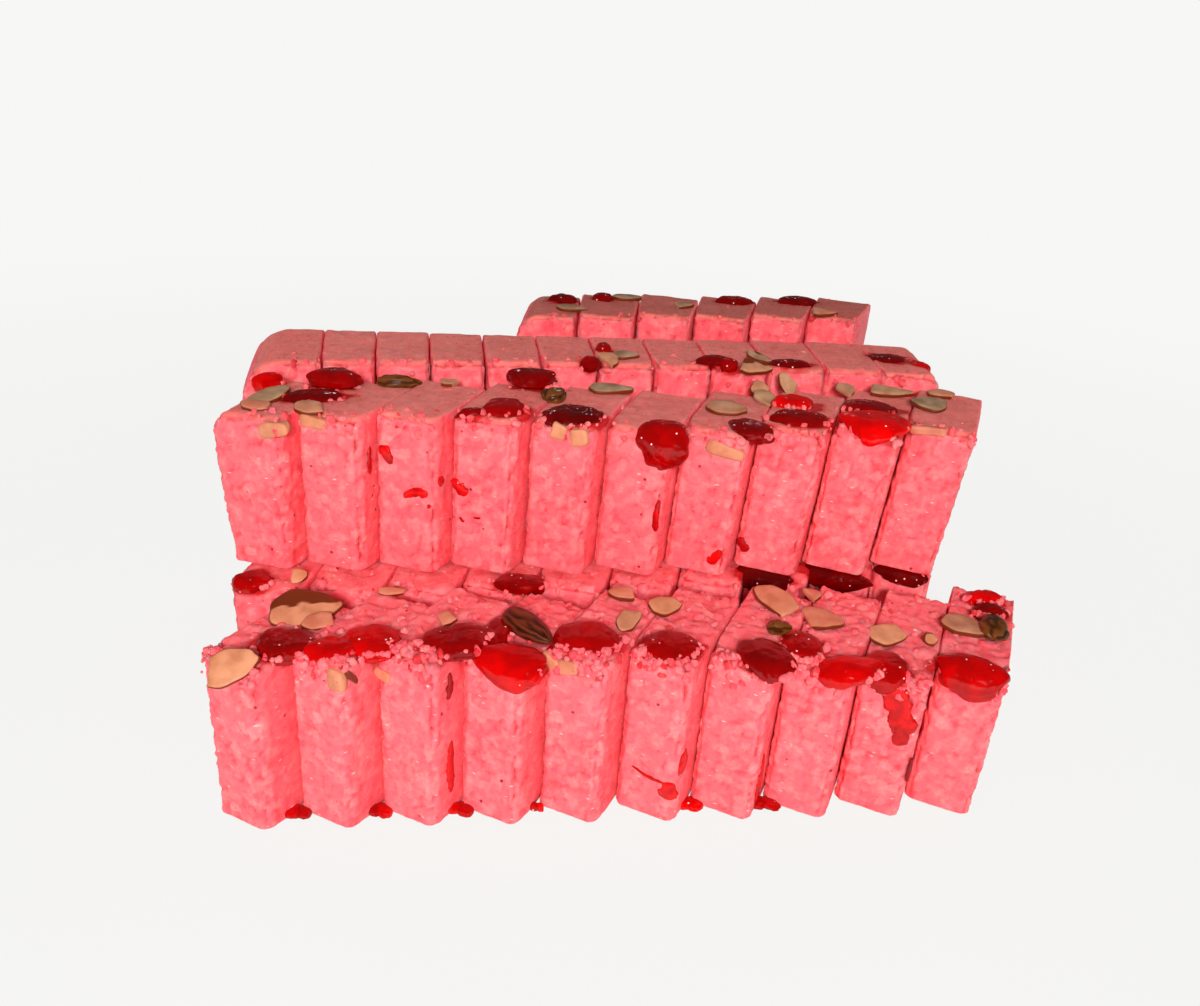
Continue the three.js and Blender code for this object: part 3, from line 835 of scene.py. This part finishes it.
def dress(body):
    """The crumb-covered slice: block, slope from front to back, lean and place."""
    size = (body.thick, body.deep, body.front)
    seed = len(body.row) * 100 + body.number
    place = np.array([body.number * 57.0, body.number * 23.0, seed * 7.0])
    crumbly = 1.0 if body.row == "lower_front" else 0.3
    edges = FIRM_EDGE if body.row in ("upper_middle", "upper_rear") else EDGE
    rough_top = ROUGH_TOP[body.row]
    local, quads, values = crumbed(size, SPACING[body.row], seed, place, rough_top, crumbly, edges)
    for radius in body.shoulders:  # the left end, then the right one, seen mirrored
        if radius:
            local[:, 0], local[:, 2] = into_shoulder(local[:, 0], local[:, 2], body.front, radius)
        local[:, 0] = body.thick - local[:, 0]
    share = local[:, 1] / body.deep
    local[:, 2] *= 1 + (body.back / body.front - 1) * share
    y, z = local[:, 1], local[:, 2]
    right, left = body.lean * z / body.front, body.reach_left(y, z)
    local[:, 0] = left + local[:, 0] / body.thick * (right - left)
    values["juice_and_pit_shade"] = np.maximum(values["juice_and_pit_shade"], juice_near(body, local))
    # the top skin value, partly painted shade, is scaled by row: the upper rows, lit at a lower angle,
    # are painted darker
    values["top_skin_and_shade"] = values["top_skin_and_shade"] * TOP_SKIN_AND_SHADE[body.row]
    piece = make_piece("halwa_" + body.node, body.to_world(local), quads, HALWA, values)
    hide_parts(body.node)
    return len(quads)


quads_made = sum(dress(body) for body in slices)
print("slices dressed with", quads_made, "quads")

# %% [markdown]
# ## The parts that no cut goes through
#
# Under the rear rows the lower tier is hidden. It is made as two uncut stretches with knife
# marks in their sides, the same block function with a groove at every slice's width.

# %% Uncut stretches
MARK_DEEP = 2.4  # mm
MARK_WIDE = 1.3  # mm
UNCUT_SPACING = 1.7  # mm between the lattice's points
UNCUT = {"lower_third_block": dict(marks=12, slant=16), "lower_rear_block": dict(marks=7, slant=0)}


def dress_uncut(node, marks, slant, seed):
    """A long block whose front edge runs back by slant mm from left to right, with grooves
    of MARK_DEEP exp(-(d / MARK_WIDE)^2), d being the distance to the nearest mark."""
    low, high = (np.array(corner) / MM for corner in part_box(node))
    size = high - low
    local, quads, values = crumbed(tuple(size), UNCUT_SPACING, seed, np.array([seed * 9.0, 0, 0]))
    step = size[0] / marks
    nearest = np.clip(np.round(local[:, 0] / step), 1, marks - 1)  # none at the two ends
    away = np.abs(local[:, 0] - nearest * step)
    groove = MARK_DEEP * np.exp(-((away / MARK_WIDE) ** 2))
    middle = size[1] / 2
    pull = np.clip((local[:, 1] - middle) / middle, -1, 1)
    local[:, 1] -= np.sign(pull) * groove * (np.abs(pull) > 0.9)
    local[:, 2] -= groove * (local[:, 2] > size[2] - 3)
    local[:, 1] += slant * local[:, 0] / size[0] * (1 - local[:, 1] / size[1])
    values["top_skin_and_shade"] = values["top_skin_and_shade"] * 0.5
    piece = make_piece("halwa_" + node, local + low, quads, HALWA, values)
    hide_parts(node)


for number, (node, given) in enumerate(UNCUT.items()):
    dress_uncut(node, seed=700 + 50 * number, **given)
print("uncut stretches:", len(UNCUT))

# %% [markdown]
# ## Cherries
#
# A candied cherry was pressed flat into the warm top, and the knife tore it, so it is a
# cushion with an uneven outline. It is swept by two angles: t goes round it and s from pole
# to pole. Folds are pressed in where a noise passes through zero, which gives winding
# lines like those of a fruit that has shrunk. Only its upper part stands out of the halwa.


# %% Cherry shape
def closed_faces(rings, around):
    """The triangles of a closed surface whose points are counted ring by ring from the top
    down, then the top pole and the bottom pole."""
    index = np.arange(rings * around).reshape(rings, around)
    after = np.roll(index, -1, 1)
    a, b, c, d = index[:-1], index[1:], after[1:], after[:-1]
    body = [np.stack(three, -1).reshape(-1, 3) for three in ((a, b, c), (a, c, d))]
    cap = np.stack([np.full(around, index.size), index[0], after[0]], -1)
    base = np.stack([np.full(around, index.size + 1), after[-1], index[-1]], -1)
    return np.concatenate([*body, cap, base])


def ball_grid(around, rings):
    """Two angles on a grid, t round the upright axis and s from the top pole down, as flat
    arrays, the ball's points sin s cos t, sin s sin t, cos s, and the triangles."""
    s = np.linspace(0, math.pi, rings + 1)[1:-1]
    t = np.linspace(0, 2 * math.pi, around, endpoint=False)
    ss, tt = np.meshgrid(s, t, indexing="ij")
    s, t = np.append(ss, [0, math.pi]), np.append(tt, [0, 0])
    ball = np.column_stack([np.sin(s) * np.cos(t), np.sin(s) * np.sin(t), np.cos(s)])
    return t, s, ball, closed_faces(rings - 1, around)


def turned(points, turn, tilt=0.0):
    """Points turned by turn degrees about Z, then tipped forward by tilt degrees about X."""
    a, b = math.radians(turn), math.radians(tilt)
    about_z = np.array([[math.cos(a), -math.sin(a), 0], [math.sin(a), math.cos(a), 0], [0, 0, 1]])
    about_x = np.array([[1, 0, 0], [0, math.cos(b), -math.sin(b)], [0, math.sin(b), math.cos(b)]])
    return points @ (about_x @ about_z).T


CHERRY_TALL = 3.9  # mm above its widest line
CHERRY_DEEP = 3.2  # mm below it
CHERRY_SUNK = 1.3  # mm that its widest line lies under the top
FOLD_WIDE = 0.13  # of the second noise, on either side of zero


def cherry_shape(length, width, seed):
    """A cushion: the ball's point n over (h^3 + |z|^3)^(1/3), h its distance from the
    upright axis. The outline is drawn in and out by 0.2 noise + 0.1 finer noise of n's
    direction, and the whole by 0.08 noise(n) - 0.07 exp(-(noise(n) / FOLD_WIDE)^2)."""
    t, s, ball, faces = ball_grid(64, 30)
    ring = np.column_stack([np.cos(t), np.sin(t), 0 * t]) + seed * 5.1
    outline = 0.2 * swell(ring, 0.9, seed + 7) + 0.1 * swell(ring, 0.33, seed + 9)
    lobes = 0.08 * swell(ball + seed * 3.7, 0.5, seed)
    folds = np.exp(-((swell(ball + seed * 1.3, 0.62, seed + 2) / FOLD_WIDE) ** 2))
    cushion = ball / ((np.sin(s) ** 3 + np.abs(np.cos(s)) ** 3) ** (1 / 3))[:, None]
    cushion[:, :2] *= (1 + outline * np.sin(s))[:, None]
    cushion[:, 2] *= np.where(s < math.pi / 2, CHERRY_TALL, CHERRY_DEEP)
    cushion[:, :2] *= (length / 2, width / 2)
    return cushion * (1 + lobes - 0.07 * folds)[:, None], faces


DRAPE = 5.0  # mm, radius of the bend over the front edge


def draped(body, points):
    """Bends what reaches over the slice's front edge down its front. With b the distance
    behind the edge and h the height above the top, a point in front of b = DRAPE goes to
    the angle (DRAPE - b) / DRAPE round the bend, at the radius DRAPE + h, and from a
    quarter turn on straight down."""
    a, b = body.to_local(points[:, :2]).T
    top = body.top(np.maximum(b, 0))
    height = points[:, 2] - body.base - top
    ahead = np.maximum(DRAPE - b, 0)
    angle = np.minimum(ahead / DRAPE, math.pi / 2)
    radius = np.maximum(DRAPE + height, 0.3)
    bent_b = DRAPE - radius * np.sin(angle)
    bent_z = top - DRAPE + radius * np.cos(angle) - np.maximum(ahead - DRAPE * math.pi / 2, 0)
    before = b < DRAPE
    local = np.column_stack([a, np.where(before, bent_b, b), np.where(before, bent_z, top + height)])
    return body.to_world(local)


def lay(row, x, y, shape, turn, tilt=0.0, lift=0.0):
    """A shape turned, tipped and set on the top of the slice that lies under x, y."""
    body = carrier(row, x, y)
    _, depth = body.to_local(ORIGIN + (x, y))
    height = body.base + body.top(depth) + lift
    return turned(shape, turn, tilt) + np.append(ORIGIN + (x, y), height)


parts = []
for row, table in CHERRIES.items():
    for x, y, length, width, turn, bright, sunk in table:
        shape, faces = cherry_shape(length, width, len(parts) + 3)
        placed = draped(carrier(row, x, y), lay(row, x, y, shape, turn, 0, -CHERRY_SUNK - sunk))
        parts.append((placed, faces, {"bright": np.full(len(shape), bright)}))
make_joined("glace_cherries", parts, CHERRY)

# %% [markdown]
# ## Almonds
#
# A sliced almond is a thin plate with the outline of the nut, blunt at one end and pointed
# at the other. Its rim is the skin of the nut. The plate is a profile carried round the
# outline: out along the top, down the rim, and in along the bottom. Many are broken: the
# outline is then held back behind a straight line.

# %% Almond shape
ALMOND_HALF = 1.25  # mm, half of a slice's thickness


def almond_shape(length, width, breaks, skin_share, seed):
    """Outline: x = L/2 cos t, y = W/2 sin t (1 - 0.35 cos t)^0.8. A break at the angle a
    takes p . (cos a, sin a) - d off each point p that lies beyond d. Brown skin covers the
    rim, and one side of the top where skin_share is above 0.2."""
    rng = np.random.default_rng(seed)
    t = np.linspace(0, 2 * math.pi, 44, endpoint=False)
    out = np.array([0.35, 0.65, 0.86, 0.95, 1.0, 1.0, 0.95, 0.8, 0.4])
    level = np.array([0.98, 0.92, 0.82, 0.7, 0.4, -0.4, -0.8, -0.95, -1.0])
    rim = np.array([0, 0, 0, 0.3, 1, 1, 0.4, 0, 0])
    waver = 1 + 0.05 * np.sin(3 * t + rng.uniform(0, 6)) + 0.03 * np.sin(7 * t + rng.uniform(0, 6))
    edge = np.column_stack(
        [
            length / 2 * np.cos(t) * waver,
            width / 2 * np.sin(t) * (1 - 0.35 * np.cos(t)) ** 0.8 * waver,
        ]
    )
    whole = np.ones(len(t))
    for _ in range(breaks):
        angle = rng.choice([0, math.pi]) + rng.uniform(-0.7, 0.7)
        line = np.array([math.cos(angle), math.sin(angle)])
        over = np.maximum(edge @ line - rng.uniform(0.5, 0.75) * (edge @ line).max(), 0)
        whole = np.where(over > 0, 0, whole)
        edge = edge - over[:, None] * line
    oo, tt = np.meshgrid(out, np.arange(len(t)), indexing="ij")
    flat = edge[tt.ravel()] * oo.ravel()[:, None]
    points = np.column_stack([flat, np.repeat(level, len(t))])
    points = np.vstack([points, [0, 0, 1], [0, 0, -1]])
    bend = rng.uniform(-0.008, 0.008)
    points[:, 2] = points[:, 2] * ALMOND_HALF + bend * points[:, 0] ** 2
    skin = np.append(np.repeat(rim, len(t)) * np.tile(whole, len(out)), [0, 0])
    if skin_share > 0.2:
        line = width * (0.5 - skin_share)
        uneven = 0.8 * np.sin(points[:, 0] * 0.9 + seed)
        skin = np.maximum(skin, np.clip((points[:, 1] - line + uneven) * 1.5 + 0.5, 0, 1))
    return points, closed_faces(len(out), len(t)), skin


def shares(count, skin, grey_and_shade, rosy):
    """The values that the almond finish reads, for count vertices."""
    return {"skin": skin * np.ones(count), "grey_and_shade": np.full(count, grey_and_shade), "rosy": np.full(count, rosy)}


parts = []
for row, table in ALMONDS.items():
    for x, y, length, width, turn, tilt, lift, breaks, skin_share, grey_and_shade, rosy in table:
        shape, faces, skin = almond_shape(length, width, breaks, skin_share, 300 + len(parts))
        placed = lay(row, x, y, shape, turn, tilt, lift)
        parts.append((placed, faces, shares(len(skin), skin, grey_and_shade, rosy)))
make_joined("sliced_almonds", parts, ALMOND)

# %% Almond splinters on the cut faces
by_name = {(body.row, body.number): body for body in slices}
SPLINTER_THICK = 3.4  # mm
SPLINTER_PROUD = 0.55  # mm that a splinter's face stands out of the cut


def splinter_on_face(body, face, across, up, length, width, turn, seed):
    """A rounded block, the ball's coordinates each to the power 0.45, turned in the plane
    of a face and sunk in it."""
    _, _, ball, faces = ball_grid(32, 18)
    block = np.sign(ball) * np.abs(ball) ** 0.45
    block *= (1 + 0.09 * swell(block + seed * 2.3, 0.8, seed))[:, None]
    block[:, 1] *= 1 - 0.12 * block[:, 0]
    points = turned(block * (length / 2, width / 2, SPLINTER_THICK / 2), turn)
    out = points[:, 2] - SPLINTER_THICK / 2 + SPLINTER_PROUD
    return body.on_face(face, points[:, 0] + across, points[:, 1] + up, out), faces


parts = []
for row, table in SPLINTERS.items():
    for number, face, across, up, length, width, turn, skin, grey_and_shade, rosy in table:
        body = by_name[row, number]
        placed, faces = splinter_on_face(body, face, across, up, length, width, turn, len(parts))
        parts.append((placed, faces, shares(len(placed), skin, grey_and_shade, rosy)))
make_joined("almond_splinters", parts, ALMOND)


# %% Almond in its skin, raisins
def wrinkled(length, width, tall, ridges, deep, seed):
    """A ball stretched along x, with ridges that run from end to end: radius
    1 + deep sin(ridges a + w), a the angle round the long axis and w a slow wobble."""
    _, s, ball, faces = ball_grid(36, 28)
    sphere = ball[:, [2, 0, 1]]
    angle = np.arctan2(sphere[:, 2], sphere[:, 1])
    wobble = 2.5 * swell(sphere * 3 + seed, 1.0, seed)
    wave = np.sin(ridges * angle + wobble)
    points = sphere * (1 + deep * wave * np.sin(s))[:, None]
    points = points * (length / 2, width / 2, tall / 2)
    points[:, 1:] *= 1 - 0.25 * sphere[:, :1]
    return points, faces, 0.5 + 0.5 * wave


for name, table, material, tall, ridges, deep in (
    ("almond_in_skin", NUTS, ALMOND_SKIN, 7.0, 9, 0.05),
    ("golden_raisins", RAISINS, RAISIN, 5.5, 4, 0.1),
):
    parts = []
    for row, places in table.items():
        for x, y, length, width, turn in places:
            shape, faces, ridge = wrinkled(length, width, tall, ridges, deep, 40 + len(parts))
            parts.append((lay(row, x, y, shape, turn, 8, 1.4), faces, {"grain": ridge}))
    make_joined(name, parts, material)

# %% [markdown]
# ## Syrup on the cut faces
#
# The knife drags cherry juice and scraps of cherry down the cuts, and some of it runs and
# sets. Each mark is a flattened drop drawn out along a short path on the face: the ball's
# two angles again, s now going along the path and t round it.

# %% Drawn-out drops
# number of the slice, face, path of (across, up) in mm on it, greatest width, brightness
SMEARS = {
    "upper_front": [
        (2, "right", [(8.2, 48), (7.6, 43), (8.0, 37)], 2.6, 0.6),
        (3, "front", [(-22.5, 48), (-20, 46), (-17.5, 42)], 4.6, 0.8),
        (3, "front", [(-13, 30), (-9, 32.5), (-3.5, 32.5)], 4.2, 1.0),
        (3, "front", [(-3.5, 28.5), (-2.5, 27.5)], 1.6, 0.7),
        (3, "right", [(3.5, 38), (6, 35.5)], 3.6, 0.8),
        (4, "front", [(-23.5, 36), (-21.5, 33), (-17.5, 31)], 5.0, 0.9),
        (4, "front", [(-20.5, 21), (-18.5, 19.5)], 1.4, 0.6),
        (4, "front", [(-15, 22), (-12, 22)], 0.9, 0.4),
        (6, "front", [(-1.6, 33), (-2.0, 26), (-1.4, 20)], 2.6, 0.7),
        (7, "front", [(-7.5, 8), (-5, 7), (-3.0, 12)], 4.0, 1.0),
        (8, "front", [(-23.5, 13), (-22, 10), (-19, 8.5)], 4.4, 0.5),
    ],
    "lower_front": [
        (3, "right", [(9.4, 58), (9.8, 53), (9.0, 48)], 3.0, 0.2),
        (3, "right", [(10.6, 31), (10.0, 20), (10.6, 9)], 4.0, 0.9),
        (6, "right", [(3, 29), (5, 25), (6, 20)], 8.0, 0.9),
        (6, "front", [(-4.5, 17.5), (-3.2, 14.5), (-2.8, 10.5)], 6.6, 1.0),
        (6, "front", [(-17, 19.5), (-11, 17.2), (-5, 16.6)], 1.3, 0.6),
        (7, "right", [(9.5, 24), (8.5, 12), (9.5, 3)], 5.0, 0.7),
        (9, "front", [(-20, 57), (-15, 54), (-10, 48), (-7, 41), (-6, 35)], 9.5, 0.85),
        (9, "front", [(-7.5, 41), (-6.0, 36), (-6.4, 31)], 5.5, 0.55),
        (9, "right", [(1.5, 27), (2.0, 22), (1.5, 17)], 4.0, 0.1),
    ],
}
SMEAR_PROUD = 0.9  # mm
ON_CRUMB = 0.35  # mm that the crumb's surface lies inside the cut's plane


def along_path(points, share):
    """A smooth path through the points at share 0..1: Catmull-Rom, in which a stretch from
    p1 to p2 also bends towards its neighbours p0 and p3."""
    points = np.array(points, float)
    ends = np.vstack([2 * points[0] - points[1], points, 2 * points[-1] - points[-2]])
    at = share * (len(points) - 1)
    i = np.minimum(at.astype(int), len(points) - 2)
    f = (at - i)[:, None]
    p0, p1, p2, p3 = ends[i], ends[i + 1], ends[i + 2], ends[i + 3]
    bent = 2 * p1 + (p2 - p0) * f + (2 * p0 - 5 * p1 + 4 * p2 - p3) * f**2
    return (bent + (3 * p1 - p0 - 3 * p2 + p3) * f**3) / 2


def drop_on_face(body, face, path, wide, seed):
    """path(p) + w sin s cos t across it + h sin s sin t out of the face, p = (1 - cos s) / 2.
    w swells towards the path's end, as a run does, and wavers a little."""
    t, s, _, faces = ball_grid(14, 26)
    share = (1 - np.cos(s)) / 2
    line = along_path(path, share)
    after, before = np.clip(share + 0.02, 0, 1), np.clip(share - 0.02, 0, 1)
    ahead = along_path(path, after) - along_path(path, before)
    ahead /= np.linalg.norm(ahead, axis=1, keepdims=True)
    ragged = 1 + 0.45 * swell(np.column_stack([line * 0.8, t]), 1.1, seed)
    wide_here = wide / 2 * (0.75 + 0.35 * share) * ragged
    offset = wide_here * np.sin(s) ** 0.7 * np.cos(t)
    across = line[:, 0] - ahead[:, 1] * offset
    up = line[:, 1] + ahead[:, 0] * offset
    proud = np.minimum(SMEAR_PROUD, wide / 3) * np.sin(s) ** 0.7 * np.sin(t) - ON_CRUMB
    faces = faces if face == "front" else faces[:, ::-1]
    return body.on_face(face, across, up, proud), faces


parts = []
for row, table in SMEARS.items():
    for number, face, path, wide, bright in table:
        points, faces = drop_on_face(by_name[row, number], face, path, wide, len(parts))
        parts.append((points, faces, {"bright": np.full(len(points), bright)}))
make_joined("cherry_syrup", parts, SYRUP)

# %% Scraps of cherry at the foot, between slices
FOOT_SCRAPS = {2: 10, 3: 9, 4: 10, 5: 5, 7: 9, 8: 11}  # lower front slice: length in mm
rng = np.random.default_rng(5)
parts = []
for number, length in FOOT_SCRAPS.items():
    body = by_name["lower_front", number]
    for piece in range(2):
        size = length * rng.uniform(0.6, 0.8)
        shape, faces = cherry_shape(size, size * 0.75, 60 + number + 20 * piece)
        shape[:, 2] = (shape[:, 2] + CHERRY_DEEP) * 0.42 + 0.1
        across = (piece - 0.5) * length * 0.4
        place = body.to_world(np.array([[-body.thick + 1.2 + across, -1.6 + 0.35 * across, 0]]))[0]
        bright = np.full(len(shape), rng.uniform(0.45, 0.9))
        parts.append((turned(shape, rng.uniform(-60, 0)) + place, faces, {"bright": bright}))
make_joined("cherry_scraps", parts, CHERRY)

# %% [markdown]
# ## Loose crumbs
#
# Cutting tears grains out of the top edge. They lie along the edge and on the tops as
# lumps of 1 to 4 mm, most of all on the front of the lower tier. There are hundreds, so
# each one is a low ball of a few dozen faces, dented, squashed and turned at random, and
# all of a row are one mesh.

# %% Crumbs
CRUMBS = {  # on each slice: along its front edge, along its sides, and all over its top
    "lower_front": (56, 16, 34),
    "lower_second": (8, 10, 18),
    "upper_front": (20, 8, 4),
    "upper_middle": (6, 3, 2),
    "upper_rear": (5, 3, 2),
}
ROUND_CHERRY = {"lower_front": 16, "lower_second": 7, "upper_front": 7}  # along its rim
EDGE_CURVE = 3.0  # mm, radius of the front edge that they lie on
EDGE_SPREAD = 3.0  # mm that they stray from it
CRUMB_SUNK = 0.3  # of its size, that a crumb's middle lies under the surface
CRUMB_SMALL, CRUMB_LARGE = 1.2, 4.2  # mm
MANY_LARGE, FEW_LARGE = 1.1, 2.2  # powers of an even random number: the higher, the smaller
RIM_SMALL, RIM_LARGE = 1.4, 3.4  # mm, round the cherries
STAINED = 0.07  # share of the crumbs that are red with juice


def crumb_cloud(places, sizes, rng):
    """One dented ball for each place: the unit ball times three random radii, turned by a
    random angle, for all places at once."""
    _, _, ball, faces = ball_grid(8, 5)
    count = len(places)
    radii = sizes[:, None] / 2 * rng.uniform(0.6, 1.3, (count, 3))
    lumpy = ball[None] * (1 + rng.uniform(-0.24, 0.2, (count, len(ball), 1))) * radii[:, None]
    angle = rng.uniform(0, 2 * math.pi, count)[:, None]
    tip = rng.uniform(-0.7, 0.7, count)[:, None]
    x, y, z = np.moveaxis(lumpy, -1, 0)
    x, y = x * np.cos(angle) - y * np.sin(angle), x * np.sin(angle) + y * np.cos(angle)
    y, z = y * np.cos(tip) - z * np.sin(tip), y * np.sin(tip) + z * np.cos(tip)
    points = np.stack([x, y, z], -1) + places[:, None]
    every = faces[None] + (np.arange(count) * len(ball))[:, None, None]
    return points.reshape(-1, 3), every.reshape(-1, 3), len(ball)


def on_slice(body, on_edge, on_side, on_top, rng):
    """Places, sizes and top skin, partly painted shade, of a slice's crumbs. Those of the front edge lie
    at a random run along the curve from the top over the edge and down the front."""
    many = on_edge + on_side + on_top
    share = rng.uniform(0, 1, many) ** (MANY_LARGE if body.row == "lower_front" else FEW_LARGE)
    size = CRUMB_SMALL + (CRUMB_LARGE - CRUMB_SMALL) * share
    sunk = CRUMB_SUNK * size
    run = rng.normal(0, EDGE_SPREAD, on_edge)
    bend = np.clip(run / EDGE_CURVE + math.pi / 4, 0, math.pi / 2)
    past = run - (bend - math.pi / 4) * EDGE_CURVE
    first, last = body.shoulders[0] - body.thick, -body.shoulders[1]
    across = rng.uniform(first + 1, last - 1, on_edge)
    back = EDGE_CURVE * (1 - np.sin(bend)) + sunk[:on_edge] - np.minimum(past, 0)
    down = EDGE_CURVE * (1 - np.cos(bend)) + sunk[:on_edge] + np.maximum(past, 0)
    edge = np.column_stack([across + body.lean, back, body.front - down])
    side_x = rng.choice([first + 1.6, last - 1.6], on_side) + rng.normal(0, 0.5, on_side)
    x = np.append(side_x, rng.uniform(first + 1, last - 1, on_top)) + body.lean
    y = rng.uniform(2, body.deep - 2, on_side + on_top)
    height = body.top(y) - sunk[on_edge:] - 0.4 * ROUGH_TOP[body.row]
    height[:on_side] -= 0.8
    places = body.to_world(np.concatenate([edge, np.column_stack([x, y, height])]))
    return places, size, np.repeat([0.1, 0.4, 0.8], [on_edge, on_side, on_top]) * TOP_SKIN_AND_SHADE[body.row]


def round_cherry(row, x, y, length, width, turn, rng):
    """The same for the rim of a cherry, on the half that faces the front. None lie past the
    row's ends, nor on the part of a cherry that hangs down."""
    count = ROUND_CHERRY.get(row, 0)
    t = rng.uniform(math.pi, 2 * math.pi, count)
    size = rng.uniform(RIM_SMALL, RIM_LARGE, count)
    reach = 0.96 + rng.uniform(-0.1, 0.1, count)
    rim = np.column_stack([length / 2 * reach * np.cos(t), width / 2 * reach * np.sin(t), 0 * t])
    body = carrier(row, x, y)
    flat = lay(row, x, y, rim, turn, 0, 0.8)
    placed = draped(body, flat) - np.column_stack([0 * t, 0 * t, CRUMB_SUNK * size])
    across = body.to_local(placed[:, :2])[:, 0]
    inside = (across > -body.thick + 1.5) | (body.before is not None)
    inside &= (across < body.lean - 2.5) | (body.number < len(ROWS[row]["tops"]))
    inside &= body.to_local(flat[:, :2])[:, 1] > 1.5
    return placed[inside], size[inside], np.full(inside.sum(), 0.3 * TOP_SKIN_AND_SHADE[row])


rng = np.random.default_rng(11)
for row, counts in CRUMBS.items():
    found = [on_slice(body, *counts, rng) for body in slices if body.row == row]
    found += [round_cherry(row, *cherry[:5], rng) for cherry in CHERRIES[row]]
    places, sizes, top_skins_and_shades = (np.concatenate(kind) for kind in zip(*found))
    vertices, faces, each = crumb_cloud(places, sizes, rng)
    count = len(places)
    values = {
        "grain": rng.uniform(0.2, 0.8, count),
        "speck": rng.uniform(0, 1, count),
        "juice_and_pit_shade": 0.7 * (rng.uniform(0, 1, count) > 1 - STAINED),
        "top_skin_and_shade": top_skins_and_shades,
        # on a loose crumb the seam shade value is only a random deeper tone
        "seam_shade_and_tone": rng.uniform(0, 0.3, count),
    }
    values = {key: np.repeat(value, each) for key, value in values.items()}
    make_piece("crumbs_" + row, vertices, faces, LOOSE_CRUMB, values)
    print("crumbs on", row, count)

# %% [markdown]
# ## Floor and light
#
# The halwa stands on a plain pale floor in an even pale room. It was lit by a flash close
# to the lens: faces that look at the camera are bright, the tops are lit at a low angle
# and are darker, and each cherry has small sharp glints. The room behind the flash was dim,
# so wet surfaces mirror little of it. A low soft light comes from behind on each side, so
# that the back can be seen too, and two tiny ones high up there only glint on what is wet.

# %% Stage
PAPER = "#F7F7F5"
FLOOR_WIDE = 12.0  # metres
EVEN = 0.92  # how much of the floor's brightness is the same everywhere
EVEN_NEAR, EVEN_FAR = 0.3, 1.1  # metres: beyond the second one it all is


def paper():
    """Pale card. The camera mostly sees one even brightness, and a weak shadow near by."""
    finish = Finish("pale_paper")
    finish.set({"Base Color": colour("#D8D8D6"), "Roughness": 0.9})
    glow = finish.add("Emission", color=colour(PAPER), strength=1.0)
    away = finish.add("VectorMath", {0: finish.place}, operation="LENGTH").outputs["Value"]
    even = finish.spread(away, EVEN_NEAR, EVEN_FAR, EVEN, 1.0)
    share = finish.combine("MULTIPLY", finish.add("LightPath").outputs["Is Camera Ray"], even)
    shading = {0: share, 1: finish.shader.outputs[0], 2: glow.outputs[0]}
    both = finish.add("MixShader", shading)
    finish.tree.links.new(both.outputs[0], finish.output.inputs["Surface"])
    return finish.material


HALF = FLOOR_WIDE / 2
floor_mesh = bpy.data.meshes.new("floor")
around = [(-HALF, -HALF, 0), (HALF, -HALF, 0), (HALF, HALF, 0), (-HALF, HALF, 0)]
floor_mesh.from_pydata(around, [], [(0, 1, 2, 3)])
floor_mesh.materials.append(paper())
floor = bpy.data.objects.new("floor", floor_mesh)
bpy.context.scene.collection.objects.link(floor)


def softbox(name, place, target, wide, power):
    """A square area light of a width in metres, aimed from place at target (both in m)."""
    data = bpy.data.lights.new(name, "AREA")
    data.size, data.energy = wide, power
    lamp = bpy.data.objects.new(name, data)
    lamp.location = place
    lamp.rotation_mode = "QUATERNION"
    lamp.rotation_quaternion = (Vector(target) - Vector(place)).to_track_quat("-Z", "Y")
    bpy.context.scene.collection.objects.link(lamp)
    return lamp


middle = (cad_low + cad_high) / 2
flash_place = Vector(eye) - Vector(forward) * 0.55 + Vector(right) * 0.02
for name, place, wide, power in (
    ("flash", flash_place, 0.2, 7.4),
    ("back_left", (-1.1, 1.3, 0.3), 0.7, 9),
    ("back_right", (1.3, 1.0, 0.3), 0.7, 9),
):
    softbox(name, place, middle, wide, power).visible_glossy = False
softbox("flash_glint", flash_place, middle, 0.11, 2.5)
for name, place in (("glint_left", (-0.25, 1.5, 0.75)), ("glint_right", (0.35, 1.3, 0.95))):
    softbox(name, place, middle, 0.06, 0.22).visible_diffuse = False

world = bpy.data.worlds.new("pale_room")
bpy.context.scene.world = world
world.use_nodes = True
room = world.node_tree
room.nodes.clear()
seen = add(room, "Background", color=colour(PAPER), strength=1.0)
lit = add(room, "Background", color=colour("#FAECEA"), strength=0.27)
mirrored = add(room, "Background", color=colour("#F4F4FA"), strength=0.07)
path = add(room, "LightPath")
glossy = {0: path.outputs["Is Glossy Ray"], 1: lit.outputs[0], 2: mirrored.outputs[0]}
all_round = add(room, "MixShader", glossy)
camera_sees = {0: path.outputs["Is Camera Ray"], 1: all_round.outputs[0], 2: seen.outputs[0]}
add(room, "OutputWorld", {"Surface": add(room, "MixShader", camera_sees).outputs[0]})
bpy.context.scene.view_settings.view_transform = "Standard"

# %% Sizes of the model, and the end
print("CAD box", [round(v, 4) for v in cad_high - cad_low])
